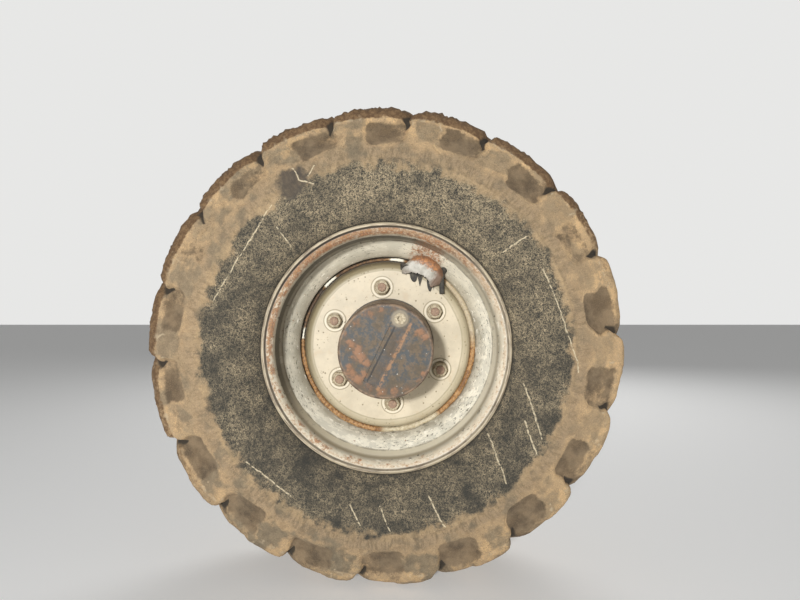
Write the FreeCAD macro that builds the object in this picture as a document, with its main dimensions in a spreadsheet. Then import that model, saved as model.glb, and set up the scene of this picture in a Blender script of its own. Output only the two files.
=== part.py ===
"""Wheel end of a site dumper: a fixed axle arm and the wheel that turns on it.

The row frame is in millimetres with +Z up. Its origin is the centre of the
axle arm's bolted face, the wheel's axis is Y, and the wheel's outer side
looks along -Y. Every outline of the wheel is drawn in pairs of (radius,
depth), where depth is measured inboard from the plane of the outer rim lip.
"""
import FreeCAD
import Part
import Sketcher
import math
import os
import re

# Driving sizes, in millimetres or degrees: alias, value, what it is
SIZES = (
    # Axle arm, from the bolted face to the spindle
    ("arm_bolt_circle", 250.0, "pitch circle of the bolted flange's holes"),
    ("arm_bolt_bore", 17.5, "diameter of those holes"),
    ("arm_bolt_count", 10, "number of those holes"),
    ("arm_flange_land", 25.0, "flange outside its bolt circle"),
    ("arm_flange_plate", 20.0, "thickness of the bolted flange"),
    ("arm_root_land", 33.0, "from the bolt circle in to the arm"),
    ("arm_root_bend", 12.0, "bend between the bolted flange and the arm"),
    ("arm_reach", 168.0, "bolted face to the spindle's flange"),
    ("arm_tip_plate", 18.0, "thickness of the flange at the arm's tip"),
    ("arm_tip_inset", 34.0, "from the tip flange's rim in to the arm"),
    ("arm_tip_bend", 8.0, "bend between the arm and its tip flange"),
    ("drive_bore", 30.0, "radius of the bore for the half shaft"),
    # Spindle that carries the hub
    ("spindle_plate", 16.0, "thickness of the spindle's flange"),
    ("spindle_wall", 17.5, "wall of the spindle at its outer seat"),
    ("waist_step", 3.5, "waist below the outer seat"),
    ("seat_step", 10.0, "inner bearing seat above the outer one"),
    ("land_step", 8.5, "seal's land above the inner seat"),
    ("land_end", 4.0, "land past the seal"),
    ("bearing_length", 38.0, "length of a bearing seat"),
    ("tip_land", 38.0, "spindle's flange above the seal's land"),
    ("tip_bolt_inset", 12.0, "bolts inside the rim of that flange"),
    ("tip_bolt_flats", 19.0, "bolt head across its flats"),
    ("tip_bolt_head", 9.0, "height of a bolt head"),
    ("tip_bolt_count", 8, "number of the spindle's bolts"),
    # Half shaft
    ("shaft_air", 6.0, "air between the half shaft and its bore"),
    ("shaft_setback", 8.0, "end of the half shaft inside the bolted face"),
    ("shaft_chamfer", 2.0, "chamfer at that end"),
    # Hub
    ("hub_reach", 430.0, "bolted face to the hub's wheel face"),
    ("hub_flange_land", 28.5, "hub's flange outside the studs' circle"),
    ("hub_flange_plate", 22.0, "thickness of the hub's flange"),
    ("hub_fillet", 10.0, "fillet between the flange and the barrel"),
    ("hub_chamfer", 8.0, "chamfer at the barrel's mouth"),
    ("hub_core", 14.0, "hollow of the hub outside the spindle's waist"),
    ("barrel_wall", 28.0, "barrel outside the seal"),
    ("spigot_step", 2.0, "spigot below the barrel"),
    ("hub_spigot", 12.0, "length of the spigot in the disc's bore"),
    ("tip_setback", 6.0, "spindle's tip behind the spigot's face"),
    ("seal_height", 18.0, "seal from its land to the barrel"),
    ("seal_width", 14.0, "width of the seal"),
    ("running_gap", 5.0, "air between turning and fixed faces"),
    ("shaft_clearance", 0.05, "radial clearance of a shaft in its bore"),
    # Drum cover on the hub
    ("drum_step", 1.2, "drum's base below the spigot"),
    ("drum_taper", 7.3, "neck behind the band below the drum's base"),
    ("drum_inset", 5.5, "flat face below the neck"),
    ("drum_stand", 82.0, "face in front of the rim's outer lip plane"),
    ("drum_band", 16.0, "depth of the band round the face"),
    ("drum_edge", 5.0, "depth of the rounded edge of that band"),
    ("drum_groove", 2.0, "depth of the groove behind the band"),
    ("drum_groove_run", 4.0, "width of that groove"),
    ("plug_across", 30.0, "plug's distance from the axis, sideways"),
    ("plug_up", 68.0, "plug's distance from the axis, upwards"),
    ("plug_radius", 12.0, "head of the plug"),
    ("plug_height", 3.0, "how far the head stands out of its boss"),
    ("boss_land", 6.0, "boss outside the plug's head"),
    ("boss_height", 2.5, "how far the boss stands out"),
    ("plug_shank", 14.0, "plug's shank inside the drum"),
    ("plug_shoulder", 3.0, "head outside the shank"),
    ("plug_socket", 10.0, "hexagon socket across its flats"),
    ("plug_socket_depth", 7.0, "depth of the socket"),
    ("bar_width", 27.0, "sunk bar on the drum's face"),
    ("bar_length", 150.0, "length of the sunk bar"),
    ("bar_depth", 2.5, "how deep it is sunk"),
    ("bar_lean", 64.6, "angle of the bar from the level"),
    # Wheel studs and nuts
    ("bore_land", 27.0, "studs' circle outside the disc's bore"),
    ("stud_count", 6, "number of studs"),
    ("stud_phase", 95.2, "angle of the first stud"),
    ("stud_radius", 10.0, "stud"),
    ("stud_air", 1.0, "hole in the disc outside the stud"),
    ("stud_show", 4.0, "stud in front of its nut"),
    ("stud_chamfer", 1.5, "chamfer at the stud's end"),
    ("stud_head_land", 5.0, "head behind the hub's flange outside the stud"),
    ("stud_head", 8.0, "height of that head"),
    ("nut_flats", 30.0, "nut across its flats"),
    ("nut_height", 18.0, "height of the nut"),
    ("nut_chamfer", 3.0, "chamfer of the nut's corners"),
    ("ring_land", 10.0, "pressed ring outside the nut's flats"),
    ("ring_edge", 2.5, "thickness of the ring at its rim"),
    ("ring_floor", 1.5, "thickness of the ring under the nut"),
    ("thread_clearance", 0.05, "radial clearance of a thread"),
    # Wheel disc
    ("disc_setback", 98.0, "disc's face behind the outer lip plane"),
    ("disc_plate", 14.0, "thickness of the disc"),
    ("edge_plate", 11.2, "thickness of its turned edge"),
    ("spigot_air", 0.5, "disc's bore outside the spigot"),
    ("edge_land", 61.5, "disc's edge outside the studs' circle"),
    ("disc_bend", 22.0, "outer bend of the disc's edge"),
    ("disc_edge_depth", 46.0, "depth of the turned edge behind the face"),
    # Rim
    ("rim_width", 330.0, "between the bead flanges"),
    ("rim_plate", 7.0, "thickness of the rim"),
    ("lip_roll", 5.0, "radius of the rolled lip"),
    ("lip_stand", 16.0, "lip plane outside the bead flange"),
    ("flange_rise", 27.0, "outside of the lip above the bead seat"),
    ("flange_bend", 18.0, "bend between flange and bead seat"),
    ("seat_drop", 4.0, "fall of the bead seat towards the well"),
    ("well_fall", 37.0, "fall of the slope into the well"),
    ("well_run", 29.0, "width of that slope"),
    ("well_lead", 23.0, "well's floor behind the disc's face"),
    ("disc_gap", 13.0, "gap between the disc's edge and the well"),
    ("weld_size", 9.0, "size of the weld in that gap"),
    ("weld_inset", 4.0, "weld inside the end of the disc's edge"),
    # Valve and its guard
    ("guard_angle", 65.0, "middle of the guard"),
    ("guard_spread", 26.0, "angle that the guard takes"),
    ("guard_plate", 5.0, "thickness of the guard"),
    ("guard_inset", 8.0, "guard's foot below the top of the slope"),
    ("guard_crown", 17.0, "crown of the guard below its foot"),
    ("guard_lap", 15.0, "guard's free edge inside the disc's edge"),
    ("guard_stand", 26.0, "crown in front of the disc's face"),
    ("guard_dip", 4.0, "free edge behind the crown"),
    ("guard_rise_bend", 24.0, "bend from the guard's foot to its crown"),
    ("guard_hood_bend", 90.0, "bend from the crown to the free edge"),
    ("valve_angle", 52.9, "angle of the valve"),
    ("valve_rise", 12.0, "valve's foot above the well's floor"),
    ("valve_radius", 6.0, "valve stem"),
    ("valve_foot", 2.5, "rubber foot outside the stem"),
    ("valve_neck", 16.0, "slope to the stem's elbow"),
    ("valve_length", 50.0, "elbow to the stem's end"),
    ("valve_droop", 12.0, "lean of the stem outboard from the upright"),
    # Tyre
    ("tyre_bulge", 21.5, "sidewall outside the rim's lip plane"),
    ("section_height", 285.0, "worn crown above the bead seat"),
    ("crown_fall", 5.0, "crown's edge below its middle"),
    ("shoulder_fall", 25.0, "shoulder below the crown's edge"),
    ("shoulder_inset", 35.5, "shoulder inside the widest place"),
    ("crown_inset", 20.0, "crown's edge inside the shoulder"),
    ("widest_rise", 112.0, "widest place above the bead seat"),
    ("buttress_depth", 72.0, "foot of the lugs below the shoulder"),
    ("buttress_inset", 12.0, "foot of the lugs inside the widest place"),
    ("tread_depth", 59.0, "inside of the crown below its outside"),
    ("tyre_wall", 20.0, "thickness of the sidewall"),
    ("bead_gap", 0.8, "gap between bead and rim"),
    ("lug_count", 18, "lugs on each side"),
    ("lug_phase", 3.1, "angle of the first lug's sharp edge at the shoulder"),
    ("groove_spread", 13.2, "angle that a groove takes at the shoulder"),
    ("groove_narrow", 2.0, "how much less it takes at the middle"),
    ("groove_turn", 13.9, "how far a lug's sharp edge turns from shoulder to middle"),
    ("sharp_flank", 1.9, "angle that a lug's steep flank takes"),
    ("soft_flank", 2.6, "angle that its gentle flank takes"),
    ("pocket_depth", 13.0, "groove's floor behind the lug's face at the shoulder"),
    ("pocket_fall", 17.0, "groove's floor below the crown at its edge"),
    ("groove_depth", 32.0, "groove's floor below the crown at the middle"),
    ("lug_step", 8.0, "gap between the lugs of the two sides at the middle"),
    ("seating_gap", 0.3, "gap under a piece on a curved face"),
)

# Radii and depths that follow from the sizes, each built on the one before
PLACES = {
    "outer_seat": "drive_bore + spindle_wall",
    "waist": "outer_seat - waist_step",
    "inner_seat": "outer_seat + seat_step",
    "seal_land": "inner_seat + land_step",
    "tip_flange": "seal_land + tip_land",
    "tip_bolt_ring": "tip_flange - tip_bolt_inset",
    "arm_tip": "tip_flange - arm_tip_inset",
    "arm_root": "arm_bolt_circle / 2 - arm_root_land",
    "arm_flange": "arm_bolt_circle / 2 + arm_flange_land",
    "seal_rim": "seal_land + seal_height",
    "barrel": "seal_rim + barrel_wall",
    "spigot": "barrel - spigot_step",
    "drum_base": "spigot - drum_step",
    "drum_neck": "drum_base - drum_taper",
    "drum_flat": "drum_neck - drum_inset",
    "disc_bore": "spigot + spigot_air",
    "stud_ring": "disc_bore + bore_land",
    "hub_flange": "stud_ring + hub_flange_land",
    "disc_edge": "stud_ring + edge_land",
    "well": "disc_edge + disc_gap",
    "slope_top": "well + well_fall",
    "bead_seat": "slope_top + seat_drop",
    "lip": "bead_seat + flange_rise",
    "lip_plane": "hub_reach + disc_plate + disc_setback",
    "hub_face": "disc_setback + disc_plate",
    "well_depth": "disc_setback + well_lead",
    "slope_depth": "well_depth - well_run",
    "rim_middle": "rim_width / 2 + lip_stand",
    "weld_depth": "disc_setback + disc_edge_depth - weld_inset",
    "guard_foot": "slope_top - guard_inset",
    "guard_edge": "disc_edge - guard_lap",
    "guard_depth": "disc_setback - guard_stand",
    "spindle_front": "arm_reach + spindle_plate",
    "mouth": "spindle_front + running_gap",
    "land_tip": "mouth + seal_width + land_end",
    "spindle_tip": "hub_reach + hub_spigot - tip_setback",
    "tyre_half": "rim_middle + tyre_bulge",
    "widest": "bead_seat + rim_plate + widest_rise",
    "crown": "bead_seat + rim_plate + section_height",
    "crown_edge": "crown - crown_fall",
    "shoulder": "crown_edge - shoulder_fall",
    "shoulder_half": "tyre_half - shoulder_inset",
    "crown_half": "shoulder_half - crown_inset",
    "buttress": "shoulder - buttress_depth",
    "buttress_half": "tyre_half - buttress_inset",
    "bulge_bend": "((widest - lip) * (widest - lip) / (2 * (tyre_bulge + 2 * lip_roll)))",
    "cavity": "crown - tread_depth",
}

WORD = re.compile(r"[a-z][a-z_]*")

doc = FreeCAD.newDocument("wheel_end")
sheet = doc.addObject("Spreadsheet::Sheet", "sizes")
for number, (alias, size, meaning) in enumerate(SIZES, start=1):
    sheet.set("A%d" % number, meaning)
    sheet.set("B%d" % number, str(size))
    sheet.setAlias("B%d" % number, alias)
doc.recompute()

ALIASES = {alias for alias, size, meaning in SIZES}


def spelled(text):
    """The text with each worked-out place spelled out in driving sizes."""
    def spell(match):
        word = match.group(0)
        return "(%s)" % spelled(PLACES[word]) if word in PLACES else word
    return WORD.sub(spell, str(text))


def bound(text):
    """The text as an expression for another object, pointing at the sheet."""
    def point(match):
        word = match.group(0)
        return "sizes." + word if word in ALIASES else word
    return WORD.sub(point, spelled(text))


def value(text):
    """What an expression on the sheet comes to, as a plain number."""
    result = sheet.evalExpression(spelled(text))
    return float(getattr(result, "Value", result))


def tie(thing, field, text):
    """Binds a field of an object to an expression on the sheet."""
    thing.setExpression(field, bound(text))


def place(thing, across="0", along="0", up="0", turn=None):
    """Binds where an object stands; turn is an axis and an angle."""
    if turn:
        axis, angle = turn
        thing.Placement = FreeCAD.Placement(
            FreeCAD.Vector(0, 0, 0), FreeCAD.Rotation(FreeCAD.Vector(*axis), value(angle)))
    for letter, text in (("x", across), ("y", along), ("z", up)):
        tie(thing, ".Placement.Base." + letter, text)


def plane_of(body, role):
    """One of the body's own origin planes."""
    return [part for part in body.Origin.OriginFeatures if part.Role == role][0]


def arc_between(start, end, radius):
    """The arc from start to end; a radius below nought turns clockwise."""
    if radius < 0:
        return arc_between(end, start, -radius)
    chord = end - start
    middle = (start + end) * 0.5
    rise = math.sqrt(max(radius ** 2 - (chord.Length / 2) ** 2, 0.0))
    left = FreeCAD.Vector(-chord.y, chord.x, 0).normalize()
    centre = middle + left * rise
    first = math.atan2(start.y - centre.y, start.x - centre.x)
    last = math.atan2(end.y - centre.y, end.x - centre.x)
    circle = Part.Circle(centre, FreeCAD.Vector(0, 0, 1), radius)
    return Part.ArcOfCircle(circle, first, last)


def draw_outline(sketch, outline):
    """A closed outline; each row is radius, depth and the bend that leads to it."""
    corners = [FreeCAD.Vector(value(row[0]), value(row[1]), 0) for row in outline]
    ends = []
    for number, row in enumerate(outline):
        start = corners[number - 1]
        end = corners[number]
        bend = value(row[2]) if len(row) > 2 else 0
        if bend:
            sketch.addGeometry(arc_between(start, end, bend), False)
        else:
            sketch.addGeometry(Part.LineSegment(start, end), False)
        ends.append((2, 1) if bend < 0 else (1, 2))
    for number in range(len(outline)):
        after = (number + 1) % len(outline)
        sketch.addConstraint(Sketcher.Constraint(
            "Coincident", number, ends[number][1], after, ends[after][0]))
    for number, row in enumerate(outline):
        corner = corners[number]
        for kind, reach, text in (("DistanceX", corner.x, row[0]),
                                  ("DistanceY", corner.y, row[1])):
            index = sketch.addConstraint(Sketcher.Constraint(
                kind, -1, 1, number, ends[number][1], reach))
            tie(sketch, "Constraints[%d]" % index, text)
        if len(row) > 2:
            index = sketch.addConstraint(Sketcher.Constraint(
                "Radius", number, abs(value(row[2]))))
            tie(sketch, "Constraints[%d]" % index, "abs(%s)" % row[2])


def turned(name, outline, across="0", along="0", up="0", sweep=None, turn=None):
    """A body turned about its own Y axis from an outline of radius and depth."""
    body = doc.addObject("PartDesign::Body", name)
    body.Label = name
    sketch = body.newObject("Sketcher::SketchObject", name + "_outline")
    sketch.AttachmentSupport = [(plane_of(body, "XY_Plane"), "")]
    sketch.MapMode = "FlatFace"
    draw_outline(sketch, outline)
    turning = body.newObject("PartDesign::Revolution", name + "_turning")
    turning.Profile = sketch
    turning.ReferenceAxis = (sketch, ["V_Axis"])
    turning.Angle = 360
    if sweep:
        turning.Midplane = True
        tie(turning, "Angle", sweep)
    body.Tip = turning
    place(body, across, along, up, turn)
    doc.recompute()
    return body


def drilled(body, name, holes, radius, reach, phase):
    """Cuts a ring of round holes through a turned body, along its axis."""
    sketch = body.newObject("Sketcher::SketchObject", name + "_ring")
    sketch.AttachmentSupport = [(plane_of(body, "XZ_Plane"), "")]
    sketch.MapMode = "FlatFace"
    across = "(%s) * cos(%s)" % (reach, phase)
    upward = "(%s) * sin(%s)" % (reach, phase)
    sketch.addGeometry(Part.Circle(
        FreeCAD.Vector(value(across), value(upward), 0),
        FreeCAD.Vector(0, 0, 1), value(radius)), False)
    for kind, text in (("DistanceX", across), ("DistanceY", upward)):
        index = sketch.addConstraint(Sketcher.Constraint(kind, -1, 1, 0, 3, value(text)))
        tie(sketch, "Constraints[%d]" % index, text)
    index = sketch.addConstraint(Sketcher.Constraint("Radius", 0, value(radius)))
    tie(sketch, "Constraints[%d]" % index, radius)
    pocket = body.newObject("PartDesign::Pocket", name + "_hole")
    pocket.Profile = sketch
    pocket.Type = "ThroughAll"
    pocket.Midplane = True
    ring = body.newObject("PartDesign::PolarPattern", name + "_holes")
    ring.Originals = [pocket]
    ring.Axis = (sketch, ["N_Axis"])
    ring.Angle = 360
    tie(ring, "Occurrences", holes)
    body.Tip = ring
    doc.recompute()


def cylinder(name, radius, height, across, along, up, tilt="90"):
    """A plain cylinder; its height runs outboard from its place unless tilted otherwise."""
    thing = doc.addObject("Part::Cylinder", name)
    tie(thing, "Radius", radius)
    tie(thing, "Height", height)
    place(thing, across, along, up, ((1, 0, 0), tilt))
    return thing


def prism(name, flats, height, across, along, up):
    """A hexagonal prism whose height runs outboard from its place."""
    thing = doc.addObject("Part::Prism", name)
    thing.Polygon = 6
    tie(thing, "Circumradius", "%s / 2 / cos(30)" % flats)
    tie(thing, "Height", height)
    place(thing, across, along, up, ((1, 0, 0), "90"))
    return thing


def join(kind, name, base, tool):
    """A boolean of two objects."""
    thing = doc.addObject("Part::" + kind, name)
    thing.Base = base
    thing.Tool = tool
    return thing


def ring_place(reach, phase, count, number):
    """Expressions for the sideways and upward place of one piece on a ring."""
    angle = "(%s + 360 / %s * %d)" % (phase, count, number)
    return "%s * cos(%s)" % (reach, angle), "%s * sin(%s)" % (reach, angle)


def far_side(rows, middle):
    """The same corners on the far side of a middle depth, in the other order."""
    back = list(reversed(rows))
    mirrored = []
    for number, row in enumerate(back):
        bend = back[number - 1][2:] if number else ()
        mirrored.append((row[0], "2 * %s - (%s)" % (middle, row[1]), *bend))
    return mirrored


def make_axle_arm():
    """The cast arm with its bolted flange, drilled for the beam's bolts."""
    tip_back = "-arm_reach + arm_tip_plate"
    arm = turned("axle_arm", (
        ("drive_bore", "0"),
        ("arm_flange", "0"),
        ("arm_flange", "-arm_flange_plate"),
        ("arm_root + arm_root_bend", "-arm_flange_plate"),
        ("arm_root", "-arm_flange_plate - arm_root_bend", "-arm_root_bend"),
        ("arm_tip", tip_back + " + arm_tip_bend"),
        ("arm_tip + arm_tip_bend", tip_back, "-arm_tip_bend * 1.01"),
        ("tip_flange", tip_back),
        ("tip_flange", "-arm_reach"),
        ("drive_bore", "-arm_reach"),
    ))
    drilled(arm, "axle_arm", "arm_bolt_count", "arm_bolt_bore / 2",
            "arm_bolt_circle / 2", "180 / arm_bolt_count")
    return arm


def make_spindle():
    """The stub that carries the hub, with its own flange on the arm's tip."""
    return turned("spindle", (
        ("drive_bore", "-arm_reach"),
        ("tip_flange", "-arm_reach"),
        ("tip_flange", "-spindle_front"),
        ("seal_land", "-spindle_front"),
        ("seal_land", "-land_tip"),
        ("inner_seat", "-land_tip"),
        ("inner_seat", "-land_tip - bearing_length"),
        ("waist", "-land_tip - bearing_length"),
        ("waist", "-spindle_tip + bearing_length"),
        ("outer_seat", "-spindle_tip + bearing_length"),
        ("outer_seat", "-spindle_tip"),
        ("drive_bore", "-spindle_tip"),
    ))


def make_spindle_bolts():
    """Hexagon heads behind the arm's tip flange, in one ring."""
    heads = []
    for number in range(int(value("tip_bolt_count"))):
        across, upward = ring_place("tip_bolt_ring", "0", "tip_bolt_count", number)
        heads.append(prism("tip_bolt_head_%d" % (number + 1), "tip_bolt_flats", "tip_bolt_head",
                           across, "-arm_reach + arm_tip_plate + tip_bolt_head", upward))
    ring = doc.addObject("Part::Compound", "spindle_bolts")
    ring.Links = heads
    ring.Label = "spindle_bolts"
    return ring


def make_half_shaft():
    """The shaft from the drum through the spindle and the arm."""
    shaft = "drive_bore - shaft_air"
    end = "-shaft_setback"
    return turned("half_shaft", (
        ("0", "-(hub_reach + hub_spigot)"),
        (shaft, "-(hub_reach + hub_spigot)"),
        (shaft, end + " - shaft_chamfer"),
        (shaft + " - shaft_chamfer", end),
        ("0", end),
    ))


def make_hub():
    """The hub: a barrel on two bearing seats and the flange for the wheel."""
    inner_bore = "inner_seat + shaft_clearance"
    outer_bore = "outer_seat + shaft_clearance"
    core = "waist + hub_core"
    flange_back = "hub_face + hub_flange_plate"
    shoulder_in = "lip_plane - land_tip - bearing_length + 2"
    shoulder_out = "lip_plane - spindle_tip + bearing_length - 2"
    hub = turned("hub", (
        ("seal_rim", "lip_plane - mouth"),
        ("barrel - hub_chamfer", "lip_plane - mouth"),
        ("barrel", "lip_plane - mouth - hub_chamfer"),
        ("barrel", flange_back + " + hub_fillet"),
        ("barrel + hub_fillet", flange_back, "hub_fillet * 1.01"),
        ("hub_flange", flange_back),
        ("hub_flange", "hub_face"),
        ("spigot", "hub_face"),
        ("spigot", "hub_face - hub_spigot"),
        (outer_bore, "hub_face - hub_spigot"),
        (outer_bore, shoulder_out),
        (core, shoulder_out),
        (core, shoulder_in),
        (inner_bore, shoulder_in),
        (inner_bore, "lip_plane - land_tip - 3"),
        ("seal_rim", "lip_plane - land_tip - 3"),
    ), along="-lip_plane")
    drilled(hub, "hub", "stud_count", "stud_radius + thread_clearance",
            "stud_ring", "stud_phase")
    return hub


def make_seal():
    """The seal in the hub's mouth, which runs on the spindle's land."""
    back = "lip_plane - mouth - 1"
    inner = "seal_land + shaft_clearance"
    outer = "seal_rim - thread_clearance"
    return turned("hub_seal", (
        (inner, back),
        (outer, back),
        (outer, back + " - seal_width"),
        (inner, back + " - seal_width"),
    ), along="-lip_plane")


def make_drum():
    """The drum cover: tapered, with a band round its face, a boss and a sunk bar."""
    base = "hub_face - hub_spigot"
    behind = "drum_band - drum_stand"
    shell = turned("drum_shell", (
        ("0", base),
        ("drum_base", base),
        ("drum_neck - drum_groove", behind + " + drum_groove_run"),
        ("drum_neck - drum_groove", behind),
        ("drum_neck", behind),
        ("drum_neck - 1", "drum_edge - drum_stand"),
        ("drum_flat", "-drum_stand", "-(drum_edge + 1)"),
        ("0", "-drum_stand"),
    ), along="-lip_plane")
    face = "-(lip_plane + drum_stand)"
    root = 4
    spare = 10
    boss = cylinder("drum_boss", "plug_radius + boss_land", "boss_height + %d" % root,
                    "plug_across", "%s + %d" % (face, root), "plug_up")
    raised = join("Fuse", "drum_raised", shell, boss)
    bar = doc.addObject("Part::Box", "drum_bar")
    tie(bar, "Length", "bar_length")
    tie(bar, "Width", "bar_width")
    tie(bar, "Height", "bar_depth + %d" % spare)
    # The bar runs down from the plug, past the axis
    bar.Placement = FreeCAD.Placement(
        FreeCAD.Vector(0, 0, 0),
        FreeCAD.Rotation(FreeCAD.Vector(0, 1, 0), -value("bar_lean"))
        * FreeCAD.Rotation(FreeCAD.Vector(1, 0, 0), 90))
    tie(bar, ".Placement.Base.x",
        "plug_across - bar_length * cos(bar_lean) + bar_width / 2 * sin(bar_lean)")
    tie(bar, ".Placement.Base.z",
        "plug_up - bar_length * sin(bar_lean) - bar_width / 2 * cos(bar_lean)")
    tie(bar, ".Placement.Base.y", face + " + bar_depth")
    keep = cylinder("drum_boss_keep", "plug_radius + boss_land", "boss_height + %d" % (2 * spare),
                    "plug_across", "%s + %d" % (face, spare), "plug_up")
    cutter = join("Cut", "drum_bar_cut", bar, keep)
    sunk = join("Cut", "drum_sunk", raised, cutter)
    seat = cylinder("drum_plug_bore", "plug_radius - plug_shoulder + thread_clearance",
                    "plug_shank + boss_height + %d" % spare,
                    "plug_across", face + " + plug_shank", "plug_up")
    drum = join("Cut", "hub_drum", sunk, seat)
    drum.Label = "hub_drum"
    return drum


def make_plug():
    """The filler plug: a round head with a hexagon socket, and its shank."""
    boss_face = "-(lip_plane + drum_stand + boss_height)"
    head = cylinder("plug_head", "plug_radius", "plug_height", "plug_across", boss_face, "plug_up")
    shank_run = "plug_shank + boss_height - 1"
    shank = cylinder("plug_stem", "plug_radius - plug_shoulder", shank_run,
                     "plug_across", "%s + %s" % (boss_face, shank_run), "plug_up")
    body = join("Fuse", "plug_body", head, shank)
    socket = prism("plug_hexagon", "plug_socket", "plug_socket_depth + 5",
                   "plug_across", boss_face + " - plug_height + plug_socket_depth", "plug_up")
    plug = join("Cut", "oil_plug", body, socket)
    plug.Label = "oil_plug"
    return plug


def make_studs():
    """One stud, pressed ring and nut for each place on the circle."""
    face = "disc_setback - lip_plane"
    back = "hub_flange_plate - hub_reach"
    seat = face + " - ring_floor"
    shank = "hub_flange_plate + disc_plate + ring_edge + nut_height + stud_show"
    collar = "stud_radius + stud_air / 2"
    made = []
    for number in range(int(value("stud_count"))):
        across, upward = ring_place("stud_ring", "stud_phase", "stud_count", number)
        tag = "_%d" % (number + 1)
        made.append(turned("wheel_stud" + tag, (
            ("0", "stud_head"),
            ("stud_radius + stud_head_land", "stud_head"),
            ("stud_radius + stud_head_land", "0"),
            ("stud_radius", "0"),
            ("stud_radius", "stud_chamfer - (%s)" % shank),
            ("stud_radius - stud_chamfer", "-(%s)" % shank),
            ("0", "-(%s)" % shank),
        ), across, back, upward))
        made.append(turned("nut_ring" + tag, (
            (collar, "0"),
            ("nut_flats / 2 + ring_land", "0"),
            ("nut_flats / 2 + ring_land", "-ring_edge"),
            ("nut_flats / 2 + 3.5", "-ring_edge"),
            ("nut_flats / 2 + 2.5", "-ring_floor"),
            (collar, "-ring_floor"),
        ), across, face, upward))
        hexagon = prism("nut_hexagon" + tag, "nut_flats", "nut_height", across, seat, upward)
        dome = turned("nut_dome" + tag, (
            ("0", "0"),
            ("nut_flats / 2 + 1.5", "0"),
            ("nut_flats / 2 + 2.6", "-2"),
            ("nut_flats / 2 + 2.6", "nut_chamfer - nut_height"),
            ("nut_flats / 2 - 1", "-nut_height"),
            ("0", "-nut_height"),
        ), across, seat, upward)
        block = join("Common", "nut_block" + tag, hexagon, dome)
        thread = cylinder("nut_thread" + tag, "stud_radius + thread_clearance", "nut_height + 4",
                          across, seat + " + 2", upward)
        nut = join("Cut", "wheel_nut" + tag, block, thread)
        nut.Label = "wheel_nut" + tag
        made.append(nut)
    return made


def make_disc():
    """The pressed disc: a flat ring, a rounded bend and an edge turned inboard."""
    face = "disc_setback"
    inner = "disc_edge - edge_plate"
    disc = turned("wheel_disc", (
        ("disc_bore", face),
        ("disc_edge - disc_bend", face),
        ("disc_edge", face + " + disc_bend", "disc_bend"),
        ("disc_edge", face + " + disc_edge_depth"),
        (inner, face + " + disc_edge_depth"),
        (inner, face + " + disc_bend + 2"),
        ("disc_edge - disc_bend - 2", face + " + disc_plate", "edge_plate - disc_bend - 3"),
        ("disc_bore", face + " + disc_plate"),
    ), along="-lip_plane")
    drilled(disc, "wheel_disc", "stud_count", "stud_radius + stud_air", "stud_ring", "stud_phase")
    return disc


def make_rim():
    """The rim: rolled lips, flanges, tapered bead seats and a drop well."""
    inner_side = (
        ("lip", "2 * lip_roll"),
        ("lip", "lip_roll"),
        ("lip - lip_roll", "0", "-lip_roll * 1.001"),
        ("lip - 2 * lip_roll", "lip_roll", "-lip_roll * 1.001"),
        ("lip - 2 * lip_roll - 3", "lip_roll + 1"),
        ("bead_seat", "lip_stand + 6", "-flange_bend"),
        ("slope_top", "slope_depth"),
        ("well", "well_depth"),
    )
    tyre_side = (
        ("well + rim_plate", "well_depth + 3"),
        ("slope_top + rim_plate", "slope_depth + 3.5"),
        ("bead_seat + rim_plate - 1", "lip_stand + 13"),
        ("bead_seat + rim_plate + 3", "lip_stand + 5"),
        ("lip - lip_roll - 4", "2 * lip_roll + 1"),
    )
    outline = list(inner_side) + far_side(inner_side, "rim_middle")
    outline += far_side(tyre_side, "rim_middle") + list(tyre_side)
    return turned("rim", outline, along="-lip_plane")


def make_weld():
    """The weld that fills the corner between the disc's edge and the well."""
    edge = "disc_edge + thread_clearance"
    wall = "well - thread_clearance"
    return turned("rim_weld", (
        (edge, "weld_depth"),
        (edge, "weld_depth - weld_size"),
        (wall, "weld_depth - weld_size / 2"),
        (wall, "weld_depth"),
    ), along="-lip_plane")


def slope_at(radius):
    """The depth of the well's slope at a radius."""
    return "(slope_depth + (slope_top - (%s)) * well_run / well_fall)" % radius


def make_guard():
    """The bent plate over the valve, with its foot on the slope of the well."""
    foot_back = "guard_foot - guard_plate"
    crown = "guard_foot - guard_crown"
    return turned("valve_guard", (
        ("guard_foot", slope_at("guard_foot") + " - seating_gap"),
        (crown, "guard_depth", "-guard_rise_bend"),
        ("guard_edge", "guard_depth + guard_dip", "-guard_hood_bend"),
        ("guard_edge + guard_plate / 10", "guard_depth + guard_dip + guard_plate"),
        (crown + " - guard_plate / 5", "guard_depth + guard_plate",
         "guard_hood_bend - guard_plate"),
        (foot_back, slope_at(foot_back) + " - seating_gap", "guard_rise_bend - guard_plate"),
    ), along="-lip_plane", sweep="guard_spread", turn=((0, 1, 0), "-guard_angle"))


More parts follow.
